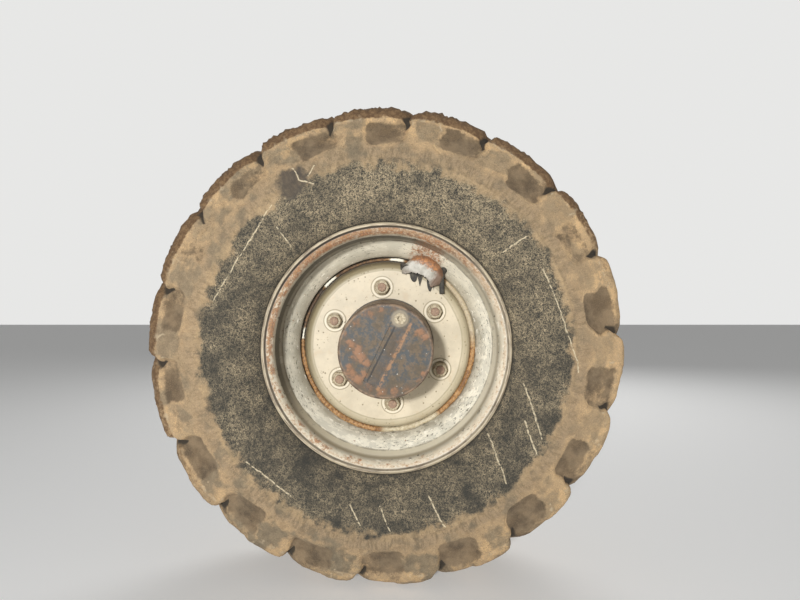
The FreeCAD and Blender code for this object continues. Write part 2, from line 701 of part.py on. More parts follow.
def make_valve():
    """The valve: a foot square on the well's slope, an elbow and a stem that hangs from it."""
    lean = "atan(well_run / well_fall)"
    reach = "(well + valve_rise)"
    depth = slope_at(reach)
    angle = math.radians(value("valve_angle"))
    tilt = ((math.sin(angle), 0, -math.cos(angle)), lean)
    foot = turned("valve_foot", (
        ("0", "-seating_gap"),
        ("valve_radius + valve_foot", "-seating_gap"),
        ("valve_radius + valve_foot / 2", "-valve_neck / 2"),
        ("valve_radius", "-valve_neck / 2"),
        ("valve_radius", "-valve_neck"),
        ("0", "-valve_neck"),
    ), reach + " * cos(valve_angle)", depth + " - lip_plane", reach + " * sin(valve_angle)",
        turn=tilt)
    bend_reach = "(%s - valve_neck * sin(%s))" % (reach, lean)
    across = bend_reach + " * cos(valve_angle)"
    along = "%s - valve_neck * cos(%s) - lip_plane" % (depth, lean)
    upward = bend_reach + " * sin(valve_angle)"
    elbow = doc.addObject("Part::Sphere", "valve_elbow")
    tie(elbow, "Radius", "valve_radius")
    place(elbow, across, along, upward)
    stem = cylinder("valve_tube", "valve_radius", "valve_length", across, along, upward,
                    "180 - valve_droop")
    valve = join("Fuse", "valve_stem", join("Fuse", "valve_bend", foot, elbow), stem)
    valve.Label = "valve_stem"
    return valve


def groove_corners(half, side):
    """Angle of each corner of a groove at a half width, and whether it is on the floor."""
    share = max(value("shoulder_half") - half, 0.0) / value("shoulder_half")
    sharp = value("lug_phase") - share * value("groove_turn")
    soft = (value("lug_phase") + value("groove_spread")
            - share * (value("groove_turn") + value("groove_narrow")))
    corners = [(sharp, False), (sharp + value("sharp_flank"), True),
               (soft - value("soft_flank"), True), (soft, False)]
    if side > 0:
        return corners
    # The far side's lugs stand half a pitch on, so its corners start at the other flank
    half_pitch = 180.0 / value("lug_count")
    turned_back = [(angle - half_pitch, low) for angle, low in corners[2:]]
    return turned_back + [(angle + half_pitch, low) for angle, low in corners[:2]]


def skin_ring(row, side):
    """The corners of one ring of the tyre's skin, all the way round."""
    radius, half, floor_radius, floor_half = [value(text) for text in row]
    pitch = 360.0 / value("lug_count")
    ring = []
    for lug in range(int(value("lug_count"))):
        for angle, low in groove_corners(half, side):
            turn = math.radians(angle + lug * pitch)
            reach = floor_radius if low else radius
            away = floor_half if low else half
            ring.append(FreeCAD.Vector(
                reach * math.cos(turn), value("rim_middle") - side * away, reach * math.sin(turn)))
    return ring


def flat_faces(first, second, third, fourth):
    """The face between four corners, or two faces where they don't lie in one plane."""
    normal = (second - first).cross(third - first)
    normal.normalize()
    if abs((fourth - first).dot(normal)) < 1e-7:
        return [Part.Face(Part.makePolygon([first, second, third, fourth, first]))]
    return [Part.Face(Part.makePolygon([first, second, third, first])),
            Part.Face(Part.makePolygon([first, third, fourth, first]))]


def make_tyre():
    """The worn tyre with its lugs, hollow, in flat faces so that its grooves stay plain."""
    heel = "rim_middle - 2 * lip_roll"
    bead = "bead_seat + rim_plate + bead_gap"
    mid_bulge = "tyre_half - bulge_bend + sqrt(bulge_bend * bulge_bend - pow(%s; 2))"
    mid_radius = "(widest + lip) / 2 - 8"
    # The bead's corners stand out so far that the flats between them clear the rim
    clear = "(%s) / cos((groove_spread - sharp_flank - soft_flank) / 2)"
    # Radius and half width of the skin outside, from the bead's toe to the lugs' foot
    wall = (
        (clear % "slope_top + rim_plate + bead_gap + 1.2", "rim_width / 2 - 42"),
        (clear % (bead + " - 0.6"), "rim_width / 2 - 13.2"),
        (clear % (bead + " + 3.4"), "rim_width / 2 - 5.6"),
        (clear % "lip - lip_roll - 4 + bead_gap", heel + " - 1.8"),
        ("lip + 4", heel + " - 0.6"),
        (mid_radius, mid_bulge % ("widest - (%s)" % mid_radius)),
        ("widest", "tyre_half"),
    )
    # Radius and half width of a lug's face, then of the groove's floor beside it
    tread = (
        ("buttress", "buttress_half", "buttress", "buttress_half"),
        ("(buttress + shoulder) / 2", "(buttress_half + shoulder_half) / 2",
         "(buttress + shoulder) / 2 - 2", "(buttress_half + shoulder_half) / 2 - pocket_depth * 0.8"),
        ("shoulder", "shoulder_half", "shoulder - 2", "shoulder_half - pocket_depth"),
        ("crown_edge - 9", "crown_half + 14", "crown - pocket_fall - 3", "crown_half - 2"),
        ("crown_edge", "crown_half", "crown - pocket_fall", "crown_half - 16"),
        ("crown_edge + 2.5", "crown_half * 0.6", "crown - groove_depth * 0.8", "crown_half * 0.6"),
        ("crown", "crown_half * 0.2", "crown - groove_depth", "crown_half * 0.2"),
        ("crown", "lug_step / 2", "crown - groove_depth", "lug_step / 2"),
    )
    inside = (
        ("cavity", "60"),
        ("cavity - 22", "shoulder_half - 22"),
        ("widest", "tyre_half - tyre_wall"),
        ("lip + 16", "rim_width / 2 - tyre_wall + 2"),
    )
    near = [row * 2 for row in wall] + list(tread)
    hollow = [row * 2 for row in inside]
    rings = [skin_ring(row, 1) for row in near]
    rings += [skin_ring(row, -1) for row in reversed(near)]
    rings += [skin_ring(row, -1) for row in reversed(hollow)]
    rings += [skin_ring(row, 1) for row in hollow]
    faces = []
    for number, ring in enumerate(rings):
        after = rings[(number + 1) % len(rings)]
        for corner in range(len(ring)):
            beside = (corner + 1) % len(ring)
            faces += flat_faces(ring[corner], ring[beside], after[beside], after[corner])
    tyre = doc.addObject("Part::Feature", "tyre")
    tyre.Shape = Part.Solid(Part.Shell(faces))
    tyre.Label = "tyre"
    place(tyre, along="-lip_plane")
    doc.recompute()
    return tyre


def main():
    """Makes every sub-part, checks it and writes it out."""
    subparts = [make_axle_arm(), make_spindle(), make_spindle_bolts(), make_half_shaft()]
    subparts += [make_hub(), make_seal(), make_drum(), make_plug()]
    subparts += make_studs()
    subparts += [make_disc(), make_rim(), make_weld(), make_guard(), make_valve(), make_tyre()]
    doc.recompute()
    for thing in doc.Objects:
        if {"Invalid", "Error"} & set(thing.State):
            raise RuntimeError("%s failed: %s" % (thing.Name, thing.State))
    for thing in subparts:
        if thing.Shape.isNull() or not thing.Shape.isValid():
            raise RuntimeError("%s has no valid shape" % thing.Label)
    os.makedirs("parts", exist_ok=True)
    for thing in subparts:
        thing.Shape.exportStep("parts/%s.step" % thing.Label)
        box = thing.Shape.BoundBox
        print("%-14s solids %d volume %9.1f cm3  y %7.1f to %7.1f  r %6.1f" % (
            thing.Label, len(thing.Shape.Solids), thing.Shape.Volume / 1000,
            box.YMin, box.YMax, box.XMax))


main()
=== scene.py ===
"""Looks of a site dumper's wheel end, laid out as an add-on and run as a script.

The frame is the model's own, in metres: the wheel turns about Y, its outer side
looks along -Y and +Z is up. Angles run anticlockwise from the right as the
camera sees the wheel. Depth is measured inboard from the outer rim lip. Tables,
radii, depths and the lengths inside materials are in millimetres.
"""
import functools
import math

import bpy
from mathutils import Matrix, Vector, noise


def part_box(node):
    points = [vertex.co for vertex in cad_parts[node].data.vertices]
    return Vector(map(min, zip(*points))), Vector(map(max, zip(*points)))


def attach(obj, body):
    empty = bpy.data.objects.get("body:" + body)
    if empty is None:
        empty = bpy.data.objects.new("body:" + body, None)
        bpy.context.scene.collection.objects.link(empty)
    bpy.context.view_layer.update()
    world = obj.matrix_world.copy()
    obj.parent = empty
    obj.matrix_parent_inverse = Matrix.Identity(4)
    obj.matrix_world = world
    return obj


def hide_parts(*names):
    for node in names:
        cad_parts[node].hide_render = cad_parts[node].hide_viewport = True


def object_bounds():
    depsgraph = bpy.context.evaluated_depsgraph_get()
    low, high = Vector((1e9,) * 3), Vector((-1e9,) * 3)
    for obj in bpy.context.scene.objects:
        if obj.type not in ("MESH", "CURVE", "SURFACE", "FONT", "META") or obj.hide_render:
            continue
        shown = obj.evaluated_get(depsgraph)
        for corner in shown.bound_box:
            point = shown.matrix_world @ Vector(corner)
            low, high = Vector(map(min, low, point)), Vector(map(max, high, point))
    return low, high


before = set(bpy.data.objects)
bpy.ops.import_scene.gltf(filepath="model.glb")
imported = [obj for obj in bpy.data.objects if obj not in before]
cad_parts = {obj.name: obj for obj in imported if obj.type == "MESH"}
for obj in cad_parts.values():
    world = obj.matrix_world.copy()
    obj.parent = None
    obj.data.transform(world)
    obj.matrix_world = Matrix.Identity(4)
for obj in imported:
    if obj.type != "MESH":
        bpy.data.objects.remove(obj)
CAD_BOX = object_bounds()

bl_info = {
    "name": "Dumper wheel end",
    "version": (1, 0, 0),
    "blender": (4, 5, 0),
    "location": "View3D > Sidebar > Wheel end",
    "description": "Finishes the wheel end of a site dumper and sets its stage",
    "category": "Object",
}

MM = 0.001
LIP_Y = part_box("rim")[0].y
RIM_SPAN = (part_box("rim")[1].y - LIP_Y) / MM
MIDDLE = RIM_SPAN / 2
DISC_FACE = (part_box("wheel_disc")[0].y - LIP_Y) / MM
DISC_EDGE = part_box("wheel_disc")[1].z / MM
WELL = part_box("rim_weld")[1].z / MM
TYRE_SIDE = (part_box("tyre")[0].y - LIP_Y) / MM
FIRST_STUD = (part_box("wheel_stud_1")[0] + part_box("wheel_stud_1")[1]) / 2
STUD_RING = math.hypot(FIRST_STUD.x, FIRST_STUD.z) / MM
STUD_ANGLE = math.atan2(FIRST_STUD.z, FIRST_STUD.x)
STUD_COUNT = len([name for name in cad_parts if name.startswith("wheel_stud_")])
WHEEL = "wheel"


def colour_field(label, text, shade):
    """A colour that a user may change."""
    return bpy.props.FloatVectorProperty(
        name=label, description=text, subtype="COLOR", size=3, min=0, max=1, default=shade)


def length_field(label, text, size):
    """A length that a user may change."""
    return bpy.props.FloatProperty(
        name=label, description=text, unit="LENGTH", default=size, min=0)


def angle_field(label, text, degrees):
    """An angle that a user may change."""
    return bpy.props.FloatProperty(
        name=label, description=text, subtype="ANGLE", default=math.radians(degrees))


class TyreLook(bpy.types.PropertyGroup):
    """Lugs, dust and rubber of the tyre."""
    lugs: bpy.props.IntProperty(
        name="Lugs", description="Lugs on each side", default=18, min=6)
    phase: angle_field("Phase", "Where the first groove's sharp edge meets the crown", 3.1)
    crumb: length_field("Crumb", "Roughness of the worn faces", 1.3 * MM)
    rubber: colour_field("Rubber", "Bare sidewall", (0.032, 0.031, 0.026))
    dust: colour_field("Dust", "Sandy band under the lugs", (0.38, 0.275, 0.165))
    lug: colour_field("Lug face", "Dusty lug faces", (0.45, 0.31, 0.17))
    mud: colour_field("Mud", "Caked mud", (0.115, 0.065, 0.031))
    scratch: colour_field("Scratch", "Scuffs on the sidewall", (0.66, 0.56, 0.38))


class PaintLook(bpy.types.PropertyGroup):
    """Paint, rust and metal of the wheel and the axle."""
    cream: colour_field("Cream", "Disc and nut rings", (0.54, 0.465, 0.33))
    silver: colour_field("Silver", "Rim", (0.48, 0.45, 0.36))
    slate: colour_field("Slate", "Drum", (0.048, 0.052, 0.052))
    rust: colour_field("Rust", "Fresh rust", (0.45, 0.20, 0.08))
    brown: colour_field("Brown rust", "Old rust", (0.16, 0.085, 0.05))
    axle: colour_field("Axle", "Axle arm", (0.07, 0.075, 0.08))


class StageLook(bpy.types.PropertyGroup):
    """Floor, light and camera."""
    floor: colour_field("Floor", "Floor and background", (0.80, 0.80, 0.79))
    lens: bpy.props.FloatProperty(
        name="Lens", description="Focal length on a 36 mm sensor", default=27.05, min=5)
    stand_off: length_field("Stand off", "Camera in front of the rim's lip", 1.333)
    camera_x: length_field("Camera across", "Camera beside the wheel's axis", 0.030)
    camera_z: length_field("Camera height", "Camera above the wheel's axis", 0.107)


def soft_step(value):
    """Nought to one with level ends."""
    value = min(max(value, 0.0), 1.0)
    return value * value * (3 - 2 * value)


def ramp(value, start, width):
    """Nought up to start and one from a width past it."""
    return soft_step((value - start) / width)


def between(table, place, column=1):
    """Straight lines through a column of a table whose first column is the place."""
    if place <= table[0][0]:
        return table[0][column]
    for low, high in zip(table, table[1:]):
        if place <= high[0]:
            step = high[column] - low[column]
            return low[column] + step * (place - low[0]) / (high[0] - low[0])
    return table[-1][column]


def polar(angle, radius, depth):
    """A point of the wheel at rest."""
    radius *= MM
    return Vector((radius * math.cos(angle), LIP_Y + depth * MM, radius * math.sin(angle)))


def turned(faces):
    """The same faces seen from their other side."""
    return [face[:1] + face[:0:-1] for face in faces]


def ring_faces(rows, columns):
    """Faces of a skin that closes both ways, its points listed row by row."""
    faces = []
    for row in range(rows):
        here = row * columns
        there = (row + 1) % rows * columns
        for column in range(columns):
            right = (column + 1) % columns
            faces.append((here + column, here + right, there + right, there + column))
    return faces


def plate_faces(columns, rows):
    """Faces of two layers with closed edges, then those of the two ends, the points
    listed by layer and then column by column."""
    size = rows + 1
    back = size * (columns + 1)
    skin = []
    for column in range(columns):
        for row in range(rows):
            a = column * size + row
            skin.append((a, a + 1, a + size + 1, a + size))
            skin.append((a + back, a + size + back, a + size + 1 + back, a + 1 + back))
        for row in (0, rows):
            a = column * size + row
            skin.append((a, a + size, a + size + back, a + back))
    firsts = [column * size + row for column in (0, columns) for row in range(rows)]
    return skin, [(a, a + 1, a + 1 + back, a + back) for a in firsts]


def new_piece(name, points, faces, body=WHEEL):
    """A smooth mesh that rides on a body."""
    mesh = bpy.data.meshes.new(name)
    mesh.from_pydata(points, [], faces)
    mesh.validate()
    mesh.update()
    for polygon in mesh.polygons:
        polygon.use_smooth = True
    piece = bpy.data.objects.new(name, mesh)
    bpy.context.scene.collection.objects.link(piece)
    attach(piece, body)
    return piece


def add_fields(piece, fields):
    """Numbers for each point of a piece, for its material."""
    for name, values in fields.items():
        field = piece.data.attributes.new(name, "FLOAT", "POINT")
        field.data.foreach_set("value", values)


class Wire:
    """A shader socket on which Python's signs work."""

    def __init__(self, finish, socket):
        self.finish = finish
        self.socket = socket

    def maths(self, operation, *others):
        return self.finish.maths(operation, self, *others)

    def __add__(self, other):
        return self.maths("ADD", other)

    __radd__ = __add__

    def __sub__(self, other):
        return self.maths("SUBTRACT", other)

    def __rsub__(self, other):
        return self.finish.maths("SUBTRACT", other, self)

    def __mul__(self, other):
        return self.maths("MULTIPLY", other)

    def __truediv__(self, other):
        return self.maths("DIVIDE", other)

    def lesser(self, other):
        return self.maths("MINIMUM", other)

    def greater(self, other):
        return self.maths("MAXIMUM", other)

    def rise(self, low, high):
        """Nought at low, one at high, smooth between."""
        return self.finish.node("ShaderNodeMapRange", {"interpolation_type": "SMOOTHSTEP"},
                                self, low, high, 0.0, 1.0)

    def fall(self, low, high):
        """One at low, nought at high, smooth between."""
        return 1 - self.rise(low, high)

    def band(self, low, high, soft):
        """One between low and high."""
        return self.rise(low - soft, low + soft) * self.fall(high - soft, high + soft)


class Finish:
    """A material, the ways to build its nodes and the colours laid so far."""

    def __init__(self, name, shade, roughness=0.6, metallic=0.0):
        self.material = bpy.data.materials.new(name)
        self.material.use_nodes = True
        self.tree = self.material.node_tree
        self.shader = self.tree.nodes["Principled BSDF"]
        self.shader.inputs["Roughness"].default_value = roughness
        self.shader.inputs["Metallic"].default_value = metallic
        self.shade = shade
        place = self.tree.nodes.new("ShaderNodeTexCoord")
        self.place = Wire(self, place.outputs["Object"])
        self.flat = self.vector("MULTIPLY", self.place, (1 / MM, 0, 1 / MM))
        self.radius = self.vector("LENGTH", self.flat)
        x, y, z = self.node("ShaderNodeSeparateXYZ", {}, self.place, outputs=3)
        self.depth = (y - LIP_Y) / MM
        self.angle = self.maths("ARCTAN2", z, x)

    def node(self, kind, settings, *values, outputs=1, output=0):
        """Adds a node, its settings and what goes into its sockets in order."""
        made = self.tree.nodes.new(kind)
        for key, setting in settings.items():
            setattr(made, key, setting)
        sockets = [socket for socket in made.inputs if socket.enabled]
        for socket, value in zip(sockets, values):
            if isinstance(value, Wire):
                self.tree.links.new(value.socket, socket)
            else:
                if socket.type == "RGBA":
                    value = (*value, 1.0)
                socket.default_value = value
        wires = [Wire(self, socket) for socket in made.outputs if socket.enabled]
        return wires[:outputs] if outputs > 1 else wires[output]

    def maths(self, operation, *values):
        """A Math node."""
        return self.node("ShaderNodeMath", {"operation": operation}, *values)

    def vector(self, operation, *values):
        """A Vector Math node."""
        return self.node("ShaderNodeVectorMath", {"operation": operation}, *values)

    def field(self, name):
        """A number that the mesh carries."""
        return self.node("ShaderNodeAttribute", {"attribute_name": name}, output=2)

    def facing(self, degrees):
        """One towards an angle round the wheel, minus one on its other side."""
        return self.maths("COSINE", self.angle - math.radians(degrees))

    def noise(self, scale, detail=3.0, rough=0.55, place=None):
        """Soft noise about one half; scale is in grains per metre."""
        return self.node("ShaderNodeTexNoise", {}, place or self.place, scale, detail, rough,
                         2.0, 0.0)

    def streaks(self, along, around, detail, rough):
        """Noise with so many grains to a metre of radius and to a radian."""
        way = self.vector("NORMALIZE", self.flat)
        across, _, up = self.node("ShaderNodeSeparateXYZ", {}, way, outputs=3)
        place = self.node("ShaderNodeCombineXYZ", {}, across * around,
                          self.radius * (along * MM), up * around)
        return self.noise(1.0, detail, rough, place)

    def cracks(self, scale, detail, rough, low, high):
        """One along crooked lines."""
        return (self.noise(scale, detail, rough) - 0.5).maths("ABSOLUTE").fall(low, high)

    def cells(self, scale):
        """Distance to the nearest of scattered points, in cell sizes."""
        return self.node("ShaderNodeTexVoronoi", {}, self.place, scale)

    def warped(self, scale, size):
        """The place in the wheel's plane, pushed about so that lines come out crooked."""
        push = self.node("ShaderNodeTexNoise", {}, self.place, scale, 2.0, 0.6, 2.0, 0.0, output=1)
        push = self.vector("MULTIPLY", self.vector("SUBTRACT", push, (0.5, 0.5, 0.5)),
                           (size, 0, size))
        return self.vector("ADD", self.flat, push)

    def gap_to(self, middle, ground):
        """Distance from a point of the wheel's plane, given across and up."""
        return self.vector("LENGTH", self.vector(
            "SUBTRACT", ground, (middle[0], 0, middle[1])))

    def spot(self, middle, size, ragged=0.3, grain=90.0):
        """One inside a ragged round spot."""
        wobble = (self.noise(grain) - 0.5) * (size * ragged * 2)
        return (self.gap_to(middle, self.flat) + wobble).fall(size * 0.75, size * 1.1)

    def stroke(self, start, end, width, ground):
        """One along a thin line between two points of the wheel's plane."""
        run = (end[0] - start[0], 0, end[1] - start[1])
        from_start = self.vector("SUBTRACT", ground, (start[0], 0, start[1]))
        share = self.node("ShaderNodeMath", {"operation": "DIVIDE", "use_clamp": True},
                          self.vector("DOT_PRODUCT", from_start, run), run[0] ** 2 + run[2] ** 2)
        foot = self.vector("SCALE", run, share)
        gap = self.vector("LENGTH", self.vector("SUBTRACT", from_start, foot))
        return gap.fall(width * 0.4, width)

    def to_studs(self):
        """Distance to the nearest stud, in the wheel's plane."""
        half = math.pi / STUD_COUNT
        turn = self.maths("WRAP", self.angle - STUD_ANGLE, half, -half)
        out = turn.maths("COSINE") * self.radius - STUD_RING
        beside = turn.maths("SINE") * self.radius
        return self.vector("LENGTH", self.node("ShaderNodeCombineXYZ", {}, out, beside, 0.0))

    def mix(self, share, first, second):
        """Two colours mixed; at a share of one it is the second."""
        return self.node("ShaderNodeMix", {"data_type": "RGBA"}, share, first, second)

    def lay(self, share, shade):
        """Lays a colour over those laid before."""
        self.shade = self.mix(share, self.shade, shade)

    def lay_rust(self, look, share):
        """Lays rust, brown at its heart and orange at its edge."""
        grain = self.noise(260, 4, 0.7).rise(0.35, 0.65)
        self.lay(share, self.mix(grain, look.brown, look.rust))

    def done(self, height, distance, strength=0.8, roughness=None):
        """Links the colours, the relief and, where given, the roughness."""
        made = self.tree.nodes.new("ShaderNodeBump")
        made.inputs["Strength"].default_value = strength
        made.inputs["Distance"].default_value = distance * MM
        self.tree.links.new(height.socket, made.inputs["Height"])
        self.tree.links.new(made.outputs["Normal"], self.shader.inputs["Normal"])
        self.tree.links.new(self.shade.socket, self.shader.inputs["Base Color"])
        if roughness:
            self.tree.links.new(roughness.socket, self.shader.inputs["Roughness"])
        return self

    def cover(self, piece):
        """Gives this finish to the whole of a piece."""
        piece.data.materials.clear()
        piece.data.materials.append(self.material)


# Tyre: bead as radius and depth, then the radii of the sidewall's rows and its ridge
BEAD = [(264, 30), (266, 17), (270.5, 12.6), (277, 11.6), (283, 10.8)]
WALL = (288, 293, 300, 309, 319, 330, 341, 352, 363, 374, 385, 396, 405, 411, 414, 417, 424, 433)
RIDGE = 414
RIDGE_HEIGHT = 1.6
# Radius where the sidewall is widest, and the radii of its bulge within and beyond it
WIDEST = 372
BULGE = (138, 216)
# Radius and depth of the lugs' surface, then of the groove's floor, from the foot of the
# lugs to the middle of the tread
LUG_ROWS = (
    (443, -9.5, 443, -9.5), (447, -8.2, 446.6, -7.2), (453, -6.2, 452, -3.6),
    (461, -3.6, 459.5, 1.8), (470, -0.7, 468.5, 7.4), (480, 2.6, 478, 12.9),
    (491, 6.2, 489, 17.6), (501, 9.4, 499, 21.6), (509, 12, 507, 24.8),
    (515, 14.2, 513, 27.2), (521.5, 16.4, 518, 30.6), (527, 18.6, 522, 33.4),
    (531.5, 21.4, 525, 36.6), (535.5, 25.4, 526.8, 41), (538.4, 30.2, 527.8, 46),
    (540, 36, 528, 51), (540.6, 44, 527, 57), (541.2, 56, 524.5, 65),
    (541.9, 70, 522, 76), (542.5, 86, 520, 89), (543.2, 104, 517.6, 105),
    (543.9, 122, 515.8, 122), (544.6, 140, 514.2, 140), (545, 156, 513, 156),
    (545, 170, 513, 170), (545, 177, 513, 177),
)
LUG_FOOT = LUG_ROWS[0][0]
# The groove's sharp edge and soft edge on the shoulder's face, in degrees past the
# phase, and the widths of its two flanks, against the radius
GROOVE_FACE = (
    (443, 4.6, 10.4, 0.8, 1.2),
    (449, 2.7, 12.0, 0.9, 1.8),
    (456, 1.5, 13.0, 1.0, 2.4),
    (470, 0.6, 13.6, 1.1, 2.8),
    (515, 0.0, 13.2, 1.1, 2.6),
)
GROOVE_TURN = (13.9, 15.9)
FACE_END = 515
FACE_DEPTH = 14.2
# Columns on the first flank, between the flanks, on the second flank and beyond
GRID = (4, 10, 5, 13)
SLIT_DEPTH = 9
# Caked mud on the shoulder: angle, thickness on the lugs and how full the grooves are
MUD = (
    (-180, 3.0, 0.85), (-150, 2.0, 0.75), (-120, 1.0, 0.62), (-60, 0.5, 0.5), (-20, 0.5, 0.55),
    (15, 1.0, 0.7), (45, 4.0, 0.85), (70, 6.0, 0.9), (95, 9.0, 0.95), (130, 6.5, 0.95),
    (160, 4.0, 0.9), (180, 3.0, 0.85),
)


def wall_depth(radius):
    """Depth of the sidewall's bulge at a radius."""
    bend = BULGE[0] if radius < WIDEST else BULGE[1]
    depth = TYRE_SIDE + bend - math.sqrt(bend ** 2 - (radius - WIDEST) ** 2)
    return depth - RIDGE_HEIGHT if radius == RIDGE else depth


def groove_edges(radius, depth):
    """Degrees of the sharp edge, soft edge and the width of each flank for one row."""
    if radius <= FACE_END:
        return [between(GROOVE_FACE, radius, column) for column in (1, 2, 3, 4)]
    share = (depth - FACE_DEPTH) / (MIDDLE - FACE_DEPTH)
    flank = 1.1 + 0.8 * soft_step(share * 6)
    return -GROOVE_TURN[0] * share, 13.2 - GROOVE_TURN[1] * share, flank, 2.6


def tyre_rows():
    """Every row of the tyre's skin from the outer bead over the tread to the inner bead."""
    wall = [(radius, wall_depth(radius)) for radius in WALL]
    near = [(radius, depth, radius, depth) for radius, depth in BEAD + wall] + list(LUG_ROWS)
    far = [(r, RIM_SPAN - d, fr, RIM_SPAN - fd) for r, d, fr, fd in reversed(near)]
    return [(row, False) for row in near] + [(row, True) for row in far]


def row_columns(edges, far_half, pitch):
    """Angle in degrees and height, nought to one, of each column of one lug's pitch."""
    sharp, soft, wall_sharp, wall_soft = edges
    if far_half:
        knots = (soft - wall_soft - pitch / 2, soft - pitch / 2,
                 sharp + pitch / 2, sharp + wall_sharp + pitch / 2)
    else:
        knots = (sharp, sharp + wall_sharp, soft - wall_soft, soft)
    knots += (knots[0] + pitch,)
    columns = []
    for number, count in enumerate(GRID):
        start, end = knots[number], knots[number + 1]
        for step in range(count):
            share = step / count
            height = (1 - soft_step(share), 0, soft_step(share), 1)[number]
            if far_half:
                height = 1 - height
            if number in (1, 3):
                # Columns crowd towards the edges
                share = share - 0.11 * math.sin(2 * math.pi * share)
            columns.append((start + (end - start) * share, height))
    return columns


def mud_at(angle):
    """Thickness of the mud in metres and how full the grooves are at an angle."""
    degrees = math.degrees(math.remainder(angle, 2 * math.pi))
    return between(MUD, degrees) * MM, between(MUD, degrees, 2)


@functools.lru_cache(maxsize=None)
def groove_wear(lug, far_half, radius):
    """How one groove differs: its turn in degrees, its inner end and that end's tilt, how
    deep it is, and the radius where dirt begins to fill it."""
    side = 1.3 if far_half else 0.2

    def chance(step, place):
        return noise.noise(Vector((lug * step, side, place)))

    turn = chance(3.7, 0.5) * 1.6 + chance(1.7, radius * 0.045) * 1.3
    start = 437 + 40 * max(chance(2.9, 6.3), 0)
    deep = min(max(0.8 + 0.9 * chance(5.3, 4.4), 0.35), 1)
    return turn, start, chance(4.3, 9.1) * 26, deep, 503 + 14 * chance(6.1, 2.7)


def make_tyre(look):
    """The worn tyre: sidewalls, lugs and grooves in one closed skin."""
    pitch = 360 / look.lugs
    rows = tyre_rows()
    points = []
    fields = {"pocket": [], "edge": [], "mud": [], "slit": [], "crest": []}
    top_edge = {0, GRID[0] + GRID[1] + GRID[2]}
    for row, far_half in rows:
        radius, depth, floor_radius, floor_depth = row
        own_depth = RIM_SPAN - depth if far_half else depth
        has_groove = radius >= LUG_FOOT
        edges = groove_edges(radius, own_depth)
        columns = row_columns(edges, far_half, pitch)
        offset = pitch / 2 if far_half else 0
        after_sharp = GRID[0] + GRID[1] if far_half else 0
        groove_width = edges[1] - edges[0]
        face = 1 - ramp(own_depth, 60, 70)
        corner = ramp(radius, 505, 20) * (1 - ramp(own_depth, 40, 50))
        slit_row = ramp(radius, 486, 26) * (1 - ramp(own_depth, 48, 26))
        slit_width = 0.45 + 0.5 * ramp(radius, 492, 34)
        crest_row = ramp(radius, 452, 20) * (1 - ramp(radius, 502, 18)) * face
        mud_row = ramp(radius, 512, 9) * (0.35 + 0.65 * (1 - ramp(own_depth, 60, 60)))
        rim_mark = 1 - abs(radius - 517) / 12
        lean = ramp(radius, 500, 25) if has_groove else 0.15
        side = Vector((0, 1 if far_half else -1, 0))
        for lug in range(look.lugs):
            for number, (degrees, height) in enumerate(columns):
                share = (degrees - offset - edges[0]) % pitch / pitch
                owner = lug + (1 if far_half and number >= after_sharp else 0)
                turn, start, tilt, deep, dirt = groove_wear(owner % look.lugs, far_half, radius)
                next_turn = groove_wear((owner + 1) % look.lugs, far_half, radius)[0]
                turn += (next_turn - turn) * ramp(share, 0.68, 0.32)
                spread = degrees + turn * ramp(radius, 444, 16)
                angle = look.phase + math.radians(lug * pitch + spread)
                thick, full = mud_at(angle)
                slit = cut = hollow_shade = rounded = crest = mark = caked = 0
                if has_groove:
                    past = share * pitch / groove_width
                    across = (past - 0.8) / (pitch / groove_width - 0.8)
                    crest = math.sin(math.pi * max(across, 0)) * crest_row
                    shoulder = ramp(radius, dirt, 15) * face
                    opened = ramp(radius, start + tilt * (past - 0.5), 16) * deep
                    slit = math.exp(-((degrees - edges[0] - offset - 1.4) / slit_width) ** 2)
                    slit *= slit_row * (1 - height)
                    filled = full * shoulder * soft_step(past * 2) * (1 - slit)
                    cut = (1 - height) * (1 - 0.45 * face * min(past, 1))
                    cut *= (1 - (1 - opened) * face * (1 - shoulder)) * (1 - filled)
                    # Painted shade in the pocket: stronger away from the sharp edge, in deep
                    # grooves and where little mud lies
                    shade = (0.4 + 0.6 * min(past, 1)) * (0.5 + 0.5 * deep)
                    shade = min(shade + (0.95 - full) * 0.8, 1)
                    hollow_shade = (1 - height) * (1 - (1 - opened) * face) * (1 - filled)
                    hollow_shade *= 1 - face * (1 - shade)
                    rounded = 8 * math.exp(-share / 0.12) + 6 * math.exp((share - 1) / 0.05)
                    rounded *= corner * (1.35 - full)
                    near_edge = height if number in top_edge or number - 1 in top_edge else 0
                    mark = max(near_edge, rim_mark * height, 0)
                    caked = mud_row * (1 - slit)
                r = radius + (floor_radius - radius) * cut - slit * SLIT_DEPTH - rounded
                d = depth + (floor_depth - depth) * cut
                place = polar(angle, r, d)
                rough = noise.fractal(place * 42, 0.6, 2.1, 3) * look.crumb
                if has_groove:
                    chip = max(noise.noise(place * 55 + Vector((9, 4, 2))) - 0.05, 0)
                    clod = max(noise.fractal(place * 75, 0.7, 2.0, 4) + 0.35, 0)
                    rough -= mark * chip * 7 * MM
                    rough += height * noise.noise(place * 9) * 1.6 * MM
                    rough += caked * clod * thick * 0.9
                else:
                    rough *= 0.35
                outward = Vector((math.cos(angle), 0, math.sin(angle)))
                points.append(place + (outward * lean + side * (1 - lean)) * rough)
                fields["crest"].append(crest)
                fields["slit"].append(slit)
                fields["pocket"].append(max(hollow_shade, slit))
                fields["edge"].append(mark)
                fields["mud"].append(caked * min(thick / (5 * MM), 1))
    piece = new_piece("worn_tyre", points, ring_faces(len(rows), sum(GRID) * look.lugs))
    add_fields(piece, fields)
    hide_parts("tyre")
    return piece


